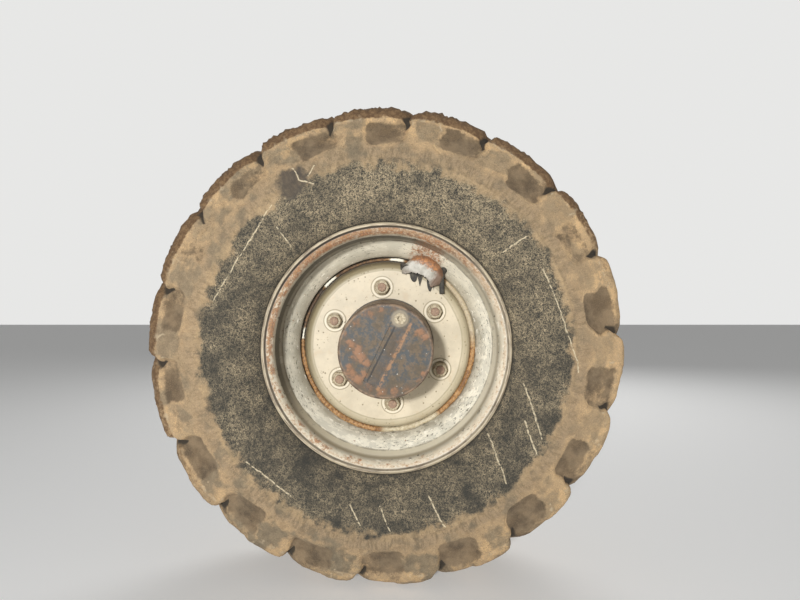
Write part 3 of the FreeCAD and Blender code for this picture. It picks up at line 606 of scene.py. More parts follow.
# Pale scuffs on the sidewall, each from and to (across, up)
SCUFFS = (
    ((303, -77), (341, -196)), ((303, -158), (330, -233)), ((226, -191), (263, -295)),
    ((-14, -345), (8, -398)), ((92, -321), (127, -390)), ((-305, -246), (-208, -321)),
    ((-80, -341), (-58, -385)), ((-252, 314), (-377, 107)), ((-241, 268), (-210, 226)),
    ((255, 211), (305, 246)), ((343, 173), (365, 125)), ((365, 125), (418, -26)),
    ((418, -26), (422, -52)), ((-206, 398), (-190, 370)), ((-190, 370), (-158, 360)),
    ((-158, 402), (-172, 378)),
)


def tyre_finish(look):
    """Charcoal sidewall with pale specks, a sandy band, dusty lugs and mud."""
    finish = Finish("worn_rubber", look.rubber, roughness=0.92)
    pocket, edge, mud, crest, slit = [
        finish.field(name) for name in ("pocket", "edge", "mud", "crest", "slit")]
    fine = finish.noise(420, 4, 0.65)
    coarse = finish.noise(26, 4, 0.6)
    patches = finish.noise(11, 4, 0.6)
    blotch = finish.noise(55, 4, 0.7)
    crumbs = finish.noise(90, 4, 0.7)
    upward = finish.facing(75)
    sunny = finish.facing(20).rise(-1.0, 1.0)
    # Charcoal sidewall, scored all over with short crooked marks
    scored = finish.cracks(62, 3, 0.7, 0.006, 0.03)
    scored = scored.greater(finish.cracks(150, 3, 0.7, 0.008, 0.035) * 0.8)
    crossed = finish.streaks(300, 60, 3, 0.6).rise(0.52, 0.64)
    grit = finish.noise(330, 3, 0.75).rise(0.50, 0.60)
    amount = coarse.rise(0.3, 0.7) * 0.4 + patches.rise(0.35, 0.65) * 0.25
    amount = amount + upward.rise(-1.0, 1.2) * 0.26
    marks = (scored * 0.85 + crossed * 0.3 + grit * 0.5) * amount
    finish.lay(coarse.rise(0.35, 0.7), (0.052, 0.046, 0.035))
    finish.lay(marks.lesser(0.9), (0.50, 0.40, 0.25))
    # The sandy band ends raggedly inward and is streaked a little outward
    combed = finish.streaks(40, 60, 4, 0.7)
    reach = finish.radius + (coarse - 0.5) * 75 + (blotch - 0.5) * 45 + (combed - 0.5) * 22
    dusty = finish.mix(combed.rise(0.4, 0.65), look.dust, (0.23, 0.165, 0.095))
    dusty = finish.mix(blotch.rise(0.5, 0.66) * 0.45, dusty, (0.13, 0.11, 0.075))
    lug = finish.mix((patches + upward * 0.015).rise(0.50, 0.58) * 0.5, look.lug,
                     (0.15, 0.132, 0.09))
    lug = finish.mix(fine.rise(0.42, 0.68) * 0.4, lug, (0.60, 0.44, 0.26))
    lug = finish.mix(blotch.rise(0.53, 0.62) * 0.4, lug, (0.18, 0.125, 0.07))
    # Sand lies near the lugs' outer edge, lighter as a painted highlight towards the right, and
    # fine cracks run over their faces
    sandy = finish.noise(34, 4, 0.7).rise(0.47, 0.57) * finish.radius.rise(455, 495)
    lug = finish.mix(sandy * (sunny * 0.45 + 0.35), lug, (0.72, 0.475, 0.235))
    # Painted highlight: the lugs towards the right are lighter
    lug = finish.mix(sunny.rise(0.45, 1.0) * 0.3, lug, (0.74, 0.50, 0.26))
    crack = finish.cracks(30, 4, 0.75, 0.002, 0.011)
    lug = finish.mix(crack * blotch.rise(0.40, 0.52) * 0.6, lug, (0.10, 0.07, 0.04))
    skin = finish.mix(reach.rise(430, 462), dusty, lug)
    # Smooth grey rubber shows through in patches, fewer where the painted highlight falls, and
    # sand is thickest at the band's foot
    bare = (finish.noise(20, 3, 0.5) + crest * 0.17).rise(0.50, 0.64)
    grey = finish.mix(blotch.rise(0.4, 0.6), (0.20, 0.165, 0.11), (0.135, 0.113, 0.078))
    skin = finish.mix(bare * (0.85 - sunny * 0.35), skin, grey)
    foot = reach.band(402, 426, 8) * coarse.rise(0.38, 0.58)
    skin = finish.mix(foot * 0.3, skin, (0.60, 0.42, 0.215))
    # Painted highlight: the lugs at the left and the right are the brightest
    level = finish.facing(0)
    skin = finish.mix(level * level * 0.13, skin, (0.92, 0.62, 0.34))
    finish.lay(reach.rise(396, 416) * (grit * 0.25 + 0.75), skin)
    # Where the sidewall is torn at the upper left, the rubber is bare
    torn = finish.spot((-205, 362), 38, 0.6, 40) * (combed * 0.5 + 0.6)
    finish.lay(torn, (0.062, 0.053, 0.044))
    # Painted shade: the pockets between the lugs are dark brown
    hollow_shade = finish.mix(coarse.rise(0.35, 0.65), (0.075, 0.052, 0.031), (0.20, 0.145, 0.088))
    hollow_shade = finish.mix(fine.rise(0.45, 0.75) * 0.4, hollow_shade, (0.31, 0.225, 0.135))
    finish.lay((pocket + (blotch - 0.5) * 0.8).rise(0.25, 0.6) * 0.85, hollow_shade)
    clods = finish.mix(finish.noise(130, 4, 0.75).rise(0.42, 0.62), look.mud,
                       (0.215, 0.132, 0.064))
    finish.lay((mud + (crumbs - 0.5) * 0.9).rise(0.25, 0.6), clods)
    chipped = edge.rise(0.35, 0.95) * blotch.rise(0.50, 0.60) * finish.radius.rise(490, 505)
    finish.lay(chipped * (1 - mud * 0.8) * 0.7, (0.56, 0.45, 0.30))
    # Painted shade: black where the slits open between the lugs
    finish.lay(slit.rise(0.25, 0.6) * 0.9, (0.025, 0.02, 0.014))
    # Painted shade: a dark line runs round where the rubber meets the rim's lip
    finish.lay(finish.radius.fall(281, 288) * 0.85, (0.022, 0.018, 0.013))
    crooked = finish.warped(45, 9)
    strokes = [finish.stroke(start, end, 2.0, crooked) for start, end in SCUFFS]
    scuffed = functools.reduce(Wire.greater, strokes)
    broken = finish.noise(130, 3, 0.7).rise(0.36, 0.56)
    finish.lay(scuffed * broken * finish.depth.fall(20, 40) * 0.9, look.scratch)
    relief = fine * 0.4 + coarse * 0.4 + grit * 0.3 + scored * 0.2 + crumbs * mud * 2.5
    return finish.done(relief, 1.6, 0.7)


def rim_finish(look):
    """Silver paint with a rusty flange, rusty runs and small dark chips."""
    finish = Finish("rim_paint_worn", look.silver)
    soft = finish.noise(18, 4, 0.6)
    grain = finish.noise(170, 4, 0.75)
    finish.lay(soft.rise(0.35, 0.7), (0.68, 0.625, 0.50))
    # Grime, flakes and scratches run round the rim
    around = finish.streaks(140, 9, 4, 0.65)
    finish.lay(around.rise(0.5, 0.68) * 0.45, (0.42, 0.37, 0.27))
    # On its lit lower right the slope has painted light: whitest at its outer edge, with chalky
    # streaks of painted highlight over darker grey; it is dirty by the weld
    slope = finish.depth.rise(80, 88)
    lit = finish.facing(-60).rise(-0.5, 0.8)
    chalk_and_glint = finish.streaks(75, 9, 4, 0.6).rise(0.49, 0.53)
    finish.lay(slope * lit * (1 - chalk_and_glint) * 0.45, (0.34, 0.325, 0.27))
    finish.lay(slope * lit * chalk_and_glint * 0.3, (0.93, 0.88, 0.74))
    finish.lay(slope * lit * finish.radius.rise(216, 240) * 0.35, (0.98, 0.94, 0.80))
    dirt = (finish.radius + (soft - 0.5) * 12).fall(212, 236)
    finish.lay(slope * dirt * (0.62 - lit * 0.12), (0.17, 0.135, 0.08))
    flakes = finish.streaks(330, 26, 3, 0.7).rise(0.59, 0.63)
    sparse = finish.noise(14, 3, 0.6).rise(0.40, 0.52)
    finish.lay(flakes * sparse * 0.9, (0.11, 0.10, 0.07))
    finish.lay(finish.streaks(190, 11, 3, 0.65).rise(0.62, 0.66) * 0.6, (0.92, 0.88, 0.77))
    # Rust lies on the flange, most on the left, and the flange is browner and darker towards the
    # top
    left = finish.facing(150)
    top = finish.facing(90).rise(0.1, 0.9)
    flange = finish.radius.band(255, 269, 2.5) * finish.depth.fall(30, 36)
    wide = finish.streaks(90, 14, 4, 0.7)
    rusty = (wide * 0.6 + grain * 0.4 + left * 0.07).rise(0.49, 0.60)
    flange_browning = flange * ((wide + top * 0.12).rise(0.34, 0.6) * (0.30 + top * 0.5))
    finish.lay(flange_browning, (0.54, 0.37, 0.22))
    # Painted highlight: the flange is lighter away from the top
    finish.lay(flange * (1 - top) * 0.25, (0.90, 0.78, 0.57))
    finish.lay(flange * top * top * grain.rise(0.3, 0.6) * 0.9, (0.20, 0.115, 0.065))
    # Painted highlight: the slope is lighter at the top
    finish.lay(slope * top * 0.22, (0.95, 0.86, 0.66))
    finish.lay_rust(look, flange * rusty * 0.85)
    finish.lay_rust(look, finish.noise(150, 3, 0.7).rise(0.655, 0.72) * 0.75)
    # Painted shade darkens the seat on the left and at the top, most near the flange
    seat = finish.depth.band(26, 92, 2) * finish.radius.rise(246, 248)
    high = finish.facing(140).rise(-0.2, 0.6)
    near = finish.depth.fall(56, 70)
    finish.lay(seat * high * (near * 0.42 + 0.48), (0.06, 0.048, 0.034))
    # Painted light and shade: elsewhere the seat is dark where shallow and bright where deep, most
    # of all below
    seat_light_and_shade = finish.mix(finish.depth.rise(34, 56), (0.46, 0.40, 0.29), (1.0, 0.95, 0.79))
    below = finish.facing(90).fall(-0.8, 0.2)
    finish.lay(seat * (1 - high) * (below * 0.45 + 0.5), seat_light_and_shade)
    # Painted shade: fine dark lines follow the edges of the slope
    for radius in (248.5, 213.5):
        line = finish.radius.band(radius - 0.9, radius + 0.9, 0.5)
        finish.lay(line * slope * around.rise(0.35, 0.55) * 0.6, (0.16, 0.13, 0.09))
    # The rolled lip is bare and brown, with a painted shadow line inside it, darkest on the left
    # and at the top
    outermost = finish.depth.fall(14, 20)
    worn = finish.mix(finish.streaks(260, 6, 4, 0.7).rise(0.45, 0.6),
                      (0.50, 0.41, 0.27), (0.17, 0.115, 0.065))
    finish.lay(finish.radius.rise(268, 271) * outermost * (0.55 + grain * 0.5), worn)
    beside = finish.radius.band(262, 267, 1.5) * outermost
    finish.lay(beside * grain.rise(0.43, 0.56) * 0.5, (0.42, 0.24, 0.10))
    line = finish.radius.band(268.6, 273, 0.5) * finish.depth.fall(9, 12)
    finish.lay(line * (left * 0.2 + top * 0.25 + 0.55), (0.05, 0.038, 0.028))
    near_guard = finish.spot((94, 212), 40, 0.7, 70)
    finish.lay_rust(look, near_guard * grain.rise(0.38, 0.6))
    return finish.done(soft * 0.4 - flakes * 0.5 + grain * rusty * flange, 0.6,
                       roughness=soft * 0.3 + 0.38)


def disc_finish(look):
    """Cream paint with small dents and chips, and painted shade round its shoulder."""
    finish = Finish("disc_paint_worn", look.cream)
    soft = finish.noise(16, 4, 0.6)
    finish.lay(soft.rise(0.3, 0.7), (0.68, 0.59, 0.43))
    finish.lay(finish.noise(38, 4, 0.65).rise(0.56, 0.70) * 0.35, (0.56, 0.42, 0.25))
    # Painted shade lies olive in the bend and darkens it most at the upper left, with a dark line
    # along its foot
    reach = finish.radius + (soft - 0.5) * 6
    high = finish.facing(125).rise(-0.3, 0.7)
    finish.lay(reach.rise(175, 180) * 0.30, (0.45, 0.40, 0.26))
    finish.lay(reach.band(176.5, 179.5, 1) * 0.5, (0.30, 0.25, 0.15))
    finish.lay(reach.rise(176, 186) * (high * 0.8 + 0.14), (0.25, 0.205, 0.115))
    finish.lay(reach.rise(188, 195) * (high * 0.55 + 0.3), (0.13, 0.10, 0.055))
    # Each nut stands on a pale ring with painted shade along the ring's edges
    gap = finish.to_studs()
    finish.lay(gap.band(20.5, 24.5, 0.8) * 0.6, (0.80, 0.73, 0.57))
    ring_edge_shade = gap.band(25.2, 27.6, 0.7).greater(gap.band(16, 20, 1))
    finish.lay(ring_edge_shade * 0.75, (0.27, 0.22, 0.13))
    chips = finish.cells(90).fall(0.12, 0.22) * finish.noise(34, 3, 0.6).rise(0.46, 0.54)
    finish.lay(chips * 0.9, (0.24, 0.19, 0.11))
    dents = finish.noise(150, 3, 0.7).rise(0.66, 0.71)
    finish.lay(dents * 0.7, (0.34, 0.25, 0.14))
    # Painted shade: the disc's edge turns in behind its face and is nearly black there
    turned_in_shade = finish.depth.rise(DISC_FACE + 18, DISC_FACE + 30)
    finish.lay(turned_in_shade * 0.85, (0.05, 0.036, 0.024))
    return finish.done(soft * 0.5 - chips * 0.8 - dents * 0.5, 0.6,
                       roughness=soft * 0.25 + 0.38)


# Weld between disc and well, by angle in degrees: how far it stands behind the disc's face and how
# thick it is, how rusty it is and how strong its painted glint is
WELD = (
    (-180, 33, 5.0, 0.9, 0.0), (-150, 29, 5.5, 1.0, 0.0), (-144, 22, 6.6, 0.75, 0.0),
    (-96, 21, 6.8, 0.75, 0.1), (-90, 22, 6.4, 0.1, 0.4), (-57, 22, 6.4, 0.1, 0.3),
    (-52, 21, 6.8, 0.8, 0.1), (-5, 21, 6.8, 0.8, 0.1), (10, 21, 6.8, 0.3, 0.1),
    (46, 24, 6.2, 0.4, 0.1),
    (52, 33, 5.0, 1.0, 0.0), (77, 34, 4.4, 1.0, 0.0), (80, 28, 3.4, 0.1, 1.0),
    (87, 28, 3.0, 0.1, 1.0), (91, 34, 4.2, 1.0, 0.0), (125, 35, 4.2, 1.0, 0.0),
    (129, 28, 2.8, 0.1, 1.0), (136, 28, 3.0, 0.1, 1.0), (140, 36, 4.2, 1.0, 0.0),
    (167, 35, 4.4, 1.0, 0.0), (170, 29, 2.6, 0.1, 1.0), (175, 29, 2.6, 0.1, 1.0),
    (178, 33, 5.0, 1.0, 0.0), (180, 33, 5.0, 0.9, 0.0),
)


def make_weld():
    """The lumpy bead that shows in the gap between the disc's edge and the well."""
    steps = 540
    sides = 10
    middle = (DISC_EDGE + WELL) / 2
    points = []
    fields = {"rust": [], "bright": []}
    for step in range(steps):
        degrees = -180 + 360 * step / steps
        angle = math.radians(degrees)
        behind, thick, rusty, glint = [between(WELD, degrees, column) for column in (1, 2, 3, 4)]
        lump = noise.noise(polar(angle, middle, 0) * 60) * 1.4
        size = thick + lump + 0.35 * math.sin(angle * 150)
        for side in range(sides):
            turn = 2 * math.pi * side / sides
            place = polar(angle, middle + size * math.cos(turn),
                          DISC_FACE + behind + size * math.sin(turn))
            points.append(place + Vector((0, noise.noise(place * 140) * 1.2 * MM, 0)))
            fields["rust"].append(rusty)
            fields["bright"].append(glint)
    piece = new_piece("weld_bead", points, turned(ring_faces(steps, sides)))
    add_fields(piece, fields)
    return piece


def weld_finish():
    """A bead that is rusty in places, with painted glints, and painted shade where it lies deep.
    """
    finish = Finish("weld_worn", (0.46, 0.38, 0.24))
    beads = finish.noise(150, 3, 0.65)
    finish.lay(beads.rise(0.35, 0.65), (0.62, 0.55, 0.40))
    yellow = finish.mix(beads.rise(0.4, 0.62), (0.44, 0.235, 0.085), (0.20, 0.10, 0.04))
    finish.lay((finish.field("rust") + beads - 0.5).rise(0.2, 0.8), yellow)
    # Painted highlight: glints where the table gives them
    finish.lay(finish.field("bright").rise(0.5, 0.9), (0.95, 0.90, 0.75))
    # Painted shade: the bead is nearly black where it lies deep
    deep = finish.depth.rise(DISC_FACE + 27, DISC_FACE + 33)
    finish.lay(deep * 0.9, (0.035, 0.025, 0.018))
    return finish.done(beads, 2)


# Rust on the drum's face: across, up and size, and strength
DRUM_RUST = (
    (-72, 14, 13, 0.9), (-60, 2, 13, 0.95), (-50, -12, 12, 0.9), (-40, -26, 10, 0.9),
    (-66, -14, 9, 0.7), (-78, -30, 9, 0.8), (-74, -46, 14, 0.9), (-58, -58, 14, 0.9),
    (-44, -48, 9, 0.8), (-34, -76, 14, 0.7), (-8, -84, 13, 0.75), (18, -84, 12, 0.75),
    (44, -76, 10, 0.6), (74, 42, 11, 0.85), (84, 30, 9, 0.9), (64, 36, 8, 0.6),
    (80, -46, 9, 0.9), (70, -58, 8, 0.6), (-62, 62, 14, 0.6), (-36, 80, 14, 0.65),
    (-10, 88, 12, 0.6), (18, 88, 12, 0.5), (-84, 36, 10, 0.6), (28, 22, 12, 0.5),
    (14, -8, 11, 0.5), (0, -36, 12, 0.5), (44, 10, 9, 0.35), (52, -30, 10, 0.35),
    (-20, 44, 10, 0.3), (10, 50, 10, 0.4),
)


def drum_finish(look):
    """Slate paint, rusty in patches, with pale specks; brown round its side."""
    finish = Finish("drum_paint_worn", look.slate)
    soft = finish.noise(34, 4, 0.65)
    grain = finish.noise(110, 4, 0.7)
    finish.lay(soft.rise(0.44, 0.58), (0.088, 0.066, 0.040))
    finish.lay(grain.rise(0.46, 0.60) * 0.75, (0.145, 0.098, 0.054))
    ground = finish.warped(55, 16)
    spots = [finish.gap_to((across, up), ground).fall(size * 0.1, size * 1.8) * strength
             for across, up, size, strength in DRUM_RUST]
    rusty = functools.reduce(Wire.greater, spots)
    finish.lay((rusty + (soft - 0.5) * 1.2).rise(0.1, 0.9) * 0.8, (0.12, 0.075, 0.042))
    rusty = (rusty + (grain - 0.5) * 1.3).rise(0.35, 0.95)
    finish.lay(rusty * 0.85, (0.29, 0.14, 0.065))
    # The sunk bar is dark, with a black painted shadow along its left edge and rusty brown along
    # its right one
    finish.lay(finish.stroke((38, 58), (-30, -74), 15, finish.flat) * 0.5, (0.070, 0.050, 0.034))
    shadow = finish.stroke((24, 60), (-38, -62), 2.6, finish.warped(90, 3))
    finish.lay(shadow * 0.9, (0.012, 0.010, 0.008))
    bar_edge = finish.stroke((52, 55), (-18, -82), 5, finish.warped(90, 5))
    finish.lay(bar_edge * grain.rise(0.4, 0.55) * 0.8, (0.33, 0.17, 0.075))
    side = finish.radius.rise(93, 97)
    finish.lay(side * 0.85, finish.mix(finish.noise(60, 4, 0.7).rise(0.4, 0.6),
                                       (0.30, 0.205, 0.13), (0.12, 0.085, 0.06)))
    boss = finish.spot((30, 68), 20, 0.05)
    finish.lay(boss * 0.8, (0.30, 0.25, 0.17))
    specks = finish.cells(75).fall(0.05, 0.12) * finish.noise(60, 2, 0.5).rise(0.50, 0.56)
    finish.lay(specks * (1 - side), (0.55, 0.53, 0.46))
    return finish.done(soft + rusty * 0.8 + grain * 0.6, 0.7, roughness=soft * 0.35 + 0.42)


def nut_finish(look):
    """Cream paint worn through to tan steel, rusty at the heart."""
    finish = Finish("nut_worn", (0.52, 0.44, 0.29), roughness=0.55)
    grain = finish.noise(180, 4, 0.65)
    finish.lay(grain.rise(0.35, 0.65), (0.28, 0.22, 0.135))
    finish.lay_rust(look, grain.rise(0.62, 0.74) * 0.6)
    return finish.done(grain, 0.4)


def stud_finish():
    """The stud's end, rusty brown with a dirty middle."""
    finish = Finish("stud_worn", (0.38, 0.25, 0.16), roughness=0.65)
    grain = finish.noise(260, 4, 0.65)
    finish.lay(grain.rise(0.35, 0.65), (0.24, 0.15, 0.10))
    return finish.done(grain, 0.4)


def axle_finish(look):
    """Dark paint under dust and thin rust."""
    finish = Finish("axle_paint_worn", look.axle, roughness=0.7)
    soft = finish.noise(30, 4, 0.6)
    finish.lay(soft.rise(0.35, 0.7), (0.13, 0.125, 0.115))
    finish.lay(finish.noise(12, 4, 0.6).rise(0.45, 0.7) * 0.6, (0.30, 0.23, 0.15))
    finish.lay_rust(look, finish.noise(60, 4, 0.7).rise(0.6, 0.7))
    return finish.done(soft, 0.8)


def steel_finish(look):
    """Machined steel, dull with a trace of rust."""
    finish = Finish("steel_dull", (0.36, 0.35, 0.34), metallic=0.8)
    soft = finish.noise(90, 4, 0.6)
    finish.lay(soft.rise(0.35, 0.7), (0.22, 0.20, 0.18))
    finish.lay_rust(look, finish.noise(40, 4, 0.7).rise(0.55, 0.7) * 0.7)
    return finish.done(soft, 0.3, 0.6, roughness=soft * 0.3 + 0.38)


def rubber_finish():
    """Black rubber of the valve and the seal, dusty; it also colours the sheet that stands for the
    hood's shadow.
    """
    finish = Finish("valve_rubber_and_hood_shadow", (0.045, 0.042, 0.036), roughness=0.8)
    soft = finish.noise(90, 4, 0.6)
    finish.lay(soft.rise(0.4, 0.75), (0.10, 0.09, 0.07))
    return finish.done(soft, 0.3, 0.6)


def guard_finish(look):
    """Grey-white paint with an orange crown of rust, a dark brown end in painted shade and a
    painted shadow along its free edge.
    """
    finish = Finish("guard_paint_worn", (0.56, 0.53, 0.46), roughness=0.55)
    soft = finish.noise(60, 4, 0.6)
    grain = finish.noise(110, 4, 0.75)
    finish.lay(soft.rise(0.35, 0.7), (0.38, 0.355, 0.30))
    crown = finish.radius + (grain - 0.5) * 26
    finish.lay_rust(look, crown.rise(203, 212) * 0.95)
    finish.lay(crown.rise(209, 216) * grain.rise(0.45, 0.6) * 0.7, (0.60, 0.27, 0.11))
    # Painted shade: the end of the hood is dark brown
    end = (finish.angle + (grain - 0.5) * 0.12).fall(math.radians(54), math.radians(58))
    finish.lay(end * 0.85, (0.15, 0.075, 0.04))
    # Painted shadow: the paint darkens along the hood's free edge
    torn = (finish.radius + (soft - 0.5) * 8).fall(180, 188)
    finish.lay(torn * 0.5, (0.20, 0.15, 0.11))
    return finish.done(soft + grain, 0.8)


# The hood over the valve: angle in degrees, radius of its foot and of its torn free edge,
# and how far it dips towards the disc
HOOD = (
    (49.0, 204, 190, 19), (50.2, 211, 184, 14), (51.5, 217, 177, 10), (53.0, 221, 172, 8),
    (54.5, 224, 172, 6), (56.0, 226, 177, 5), (57.5, 228, 181, 3), (59.5, 230, 183, 1),
    (61.5, 231, 184, 0), (64.0, 231, 185, 0), (66.5, 231, 184, 0), (69.0, 229, 183, 1),
    (72.0, 224, 181, 3), (74.0, 217, 178, 5), (76.0, 207, 174, 8), (77.5, 200, 173, 12),
    (79.0, 194, 178, 17),
)
HOOD_PLATE = 4
HOOD_FRONT = 73
BEND_SHARE = 0.35
BEND_SIZE = 15
# Dark sheet under the hood that stands for the hood's shadow on the disc: its two ends across and
# the radius of its upper edge, then its tongues: across, half width, length, blunt or pointed
SHADOW_ENDS = (31, 115)
SHADOW_TOP = 196
SHADOW_DROP = 15
SHADOW_TONGUES = (
    (36, 2.0, 8, True), (62, 9.0, 21, True), (77, 6.5, 26, False), (100, 6.5, 26, True),
    (110, 1.8, 18, False),
)


def hood_profile(share, foot, edge, dip):
    """Radius and depth of the hood's outside, from its foot on the slope to its free edge."""
    crown = foot - BEND_SIZE
    front = HOOD_FRONT + dip
    if share < BEND_SHARE:
        slope = 92 + (249 - foot) * 29 / 37
        turn = math.pi / 2 * share / BEND_SHARE
        return crown + BEND_SIZE * math.cos(turn), slope - (slope - front) * math.sin(turn)
    run = (share - BEND_SHARE) / (1 - BEND_SHARE)
    return crown + (edge - crown) * run, front + 4 * run ** 2


def make_hood():
    """The bent plate over the valve, torn along its free edge."""
    across = 120
    along = 22
    first, last = HOOD[0][0], HOOD[-1][0]
    points = []
    for layer in (0, 1):
        for column in range(across + 1):
            degrees = first + (last - first) * column / across
            foot, edge, dip = [between(HOOD, degrees, field) for field in (1, 2, 3)]
            edge += noise.noise(Vector((degrees * 0.9, 0, 7))) * 2.5
            for step in range(along + 1):
                radius, depth = hood_profile(step / along, foot, edge, dip)
                bent = min(step / along / BEND_SHARE, 1)
                radius -= layer * HOOD_PLATE * (1 - bent)
                depth += layer * HOOD_PLATE * bent
                place = polar(math.radians(degrees), radius, depth)
                push = noise.fractal(place * 55, 0.6, 2.0, 3) * 1.3 * MM
                points.append(place + Vector((0, push, 0)))
    skin, ends = plate_faces(across, along)
    piece = new_piece("torn_hood", points, skin + ends)
    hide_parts("valve_guard")
    return piece


def make_hood_shadow():
    """A dark sheet of tongues just in front of the disc, a painted shadow of the hood's ragged
    edge.
    """
    first, last = SHADOW_ENDS
    steps = (last - first) * 2
    rows = 8
    points = []
    for layer in (0, 1):
        for step in range(steps + 1):
            across = first + (last - first) * step / steps
            top = math.sqrt(SHADOW_TOP ** 2 - across ** 2)
            drop = SHADOW_DROP + noise.noise(Vector((across * 0.15, 3, 1))) * 4
            for middle, half, length, blunt in SHADOW_TONGUES:
                away = abs(across - middle) / half
                if away < 1:
                    share = math.sqrt(1 - away ** 2) if blunt else 1 - away
                    drop = max(drop, SHADOW_DROP + length * share)
            for row in range(rows + 1):
                share = row / rows
                depth = 79 + 15 * soft_step(share * 1.6) + layer * 2
                points.append((across * MM, LIP_Y + depth * MM, (top - drop * share) * MM))
    skin, ends = plate_faces(steps, rows)
    piece = new_piece("hood_shadow_sheet", points, turned(skin) + ends)
    return piece


def plain_stage(name, shade):
    """Flat pale colour for the floor, with a faint glow so that it stays pale far away."""
    finish = Finish(name, shade, roughness=0.9)
    finish.shader.inputs["Base Color"].default_value = (*shade, 1)
    finish.shader.inputs["Specular IOR Level"].default_value = 0.1
    finish.shader.inputs["Emission Color"].default_value = (*shade, 1)
    finish.shader.inputs["Emission Strength"].default_value = 0.22
    return finish


class WHEEL_OT_tyre(bpy.types.Operator):
    """Builds the worn tyre over the plain one"""
    bl_idname = "wheel.tyre"
    bl_label = "Tyre"

    def execute(self, context):
        look = context.scene.tyre_look
        tyre_finish(look).cover(make_tyre(look))
        return {"FINISHED"}


class WHEEL_OT_paint(bpy.types.Operator):
    """Gives the rim, disc, weld, guard and hub their worn paint"""
    bl_idname = "wheel.paint"
    bl_label = "Paint"

    def execute(self, context):
        look = context.scene.paint_look
        rubber = rubber_finish()
        weld = weld_finish()
        # Each finish, and the nodes that it covers by their names without a number
        finishes = (
            (rim_finish(look), ("rim",)),
            (weld, ("rim_weld",)),
            (disc_finish(look), ("wheel_disc", "nut_ring")),
            (drum_finish(look), ("hub_drum",)),
            (axle_finish(look), ("axle_arm", "hub")),
            (steel_finish(look), ("spindle", "half_shaft", "spindle_bolts")),
            (rubber, ("hub_seal", "valve_stem")),
            (nut_finish(look), ("oil_plug", "wheel_nut")),
            (stud_finish(), ("wheel_stud",)),
        )
        for name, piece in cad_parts.items():
            kind = name.rstrip("_0123456789")
            for finish, kinds in finishes:
                if kind in kinds:
                    finish.cover(piece)
        weld.cover(make_weld())
        guard_finish(look).cover(make_hood())
        # The black rubber also covers the sheet that stands for the hood's shadow on the disc
        rubber.cover(make_hood_shadow())
        return {"FINISHED"}


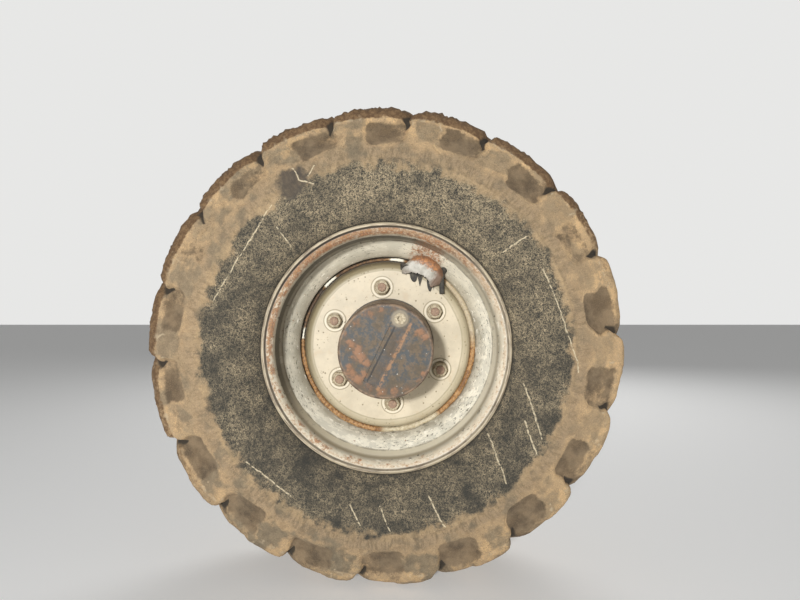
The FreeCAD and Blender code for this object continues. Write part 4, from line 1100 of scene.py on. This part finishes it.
class WHEEL_OT_stage(bpy.types.Operator):
    """Sets the floor, the soft light and the camera"""
    bl_idname = "wheel.stage"
    bl_label = "Stage"

    def execute(self, context):
        look = context.scene.stage_look
        scene = context.scene
        floor_z = CAD_BOX[0][2] - 0.5 * MM
        reach = 14.0
        corners = [(-reach, -reach, floor_z), (reach, -reach, floor_z),
                   (reach, reach, floor_z), (-reach, reach, floor_z)]
        mesh = bpy.data.meshes.new("floor")
        mesh.from_pydata(corners, [], [(0, 1, 2, 3)])
        floor = bpy.data.objects.new("floor", mesh)
        scene.collection.objects.link(floor)
        plain_stage("floor_plain", tuple(look.floor)).cover(floor)
        # Name, where it stands, size and power of each lamp, all aimed at the wheel
        lamps = (
            ("key", (-0.84, -4.6, 0.66), 0.30, 172),
            ("fill", (2.6, -2.6, 1.2), 2.4, 6),
            ("back", (0.8, 2.8, 2.2), 2.0, 60),
        )
        for name, place, size, power in lamps:
            light = bpy.data.lights.new(name, "AREA")
            light.size = size
            light.energy = power
            lamp = bpy.data.objects.new(name, light)
            lamp.location = place
            aim = Vector((0, LIP_Y + MIDDLE * MM, 0)) - Vector(place)
            lamp.rotation_euler = aim.to_track_quat("-Z", "Y").to_euler()
            scene.collection.objects.link(lamp)
        self.make_world(scene, look)
        camera_data = bpy.data.cameras.new("camera")
        camera_data.sensor_width = 36
        camera_data.lens = look.lens
        camera = bpy.data.objects.new("camera", camera_data)
        camera.location = (look.camera_x, LIP_Y - look.stand_off, look.camera_z)
        camera.rotation_euler = (math.pi / 2, 0, 0)
        scene.collection.objects.link(camera)
        scene.camera = camera
        scene.view_settings.view_transform = "Standard"
        return {"FINISHED"}

    def make_world(self, scene, look):
        """A pale background to the eye and in reflections, and a soft light on the object."""
        world = bpy.data.worlds.new("studio")
        world.use_nodes = True
        scene.world = world
        tree = world.node_tree
        paths = tree.nodes.new("ShaderNodeLightPath")
        share = paths.outputs["Is Camera Ray"]
        for kind in ("Is Glossy Ray", "Is Transmission Ray"):
            adding = tree.nodes.new("ShaderNodeMath")
            adding.operation = "MAXIMUM"
            tree.links.new(share, adding.inputs[0])
            tree.links.new(paths.outputs[kind], adding.inputs[1])
            share = adding.outputs[0]
        seen = tree.nodes["Background"]
        seen.inputs["Color"].default_value = (*look.floor, 1)
        seen.inputs["Strength"].default_value = 1.0
        light = tree.nodes.new("ShaderNodeBackground")
        light.inputs["Color"].default_value = (1, 1, 1, 1)
        light.inputs["Strength"].default_value = 0.12
        mixing = tree.nodes.new("ShaderNodeMixShader")
        tree.links.new(share, mixing.inputs[0])
        tree.links.new(light.outputs[0], mixing.inputs[1])
        tree.links.new(seen.outputs[0], mixing.inputs[2])
        tree.links.new(mixing.outputs[0], tree.nodes["World Output"].inputs["Surface"])


OPERATORS = (WHEEL_OT_tyre, WHEEL_OT_paint, WHEEL_OT_stage)


class WHEEL_PT_panel(bpy.types.Panel):
    """Lists the steps that dress the wheel end"""
    bl_label = "Wheel end"
    bl_idname = "WHEEL_PT_panel"
    bl_space_type = "VIEW_3D"
    bl_region_type = "UI"
    bl_category = "Wheel end"

    def draw(self, context):
        for step in OPERATORS:
            self.layout.operator(step.bl_idname)


LOOKS = (("tyre_look", TyreLook), ("paint_look", PaintLook), ("stage_look", StageLook))


def register():
    for field, look in LOOKS:
        bpy.utils.register_class(look)
        setattr(bpy.types.Scene, field, bpy.props.PointerProperty(type=look))
    for step in OPERATORS:
        bpy.utils.register_class(step)
    bpy.utils.register_class(WHEEL_PT_panel)


def unregister():
    bpy.utils.unregister_class(WHEEL_PT_panel)
    for step in reversed(OPERATORS):
        bpy.utils.unregister_class(step)
    for field, look in reversed(LOOKS):
        delattr(bpy.types.Scene, field)
        bpy.utils.unregister_class(look)


def main():
    """Runs every step."""
    register()
    bpy.ops.wheel.tyre()
    bpy.ops.wheel.paint()
    bpy.ops.wheel.stage()


if __name__ == "__main__":
    main()
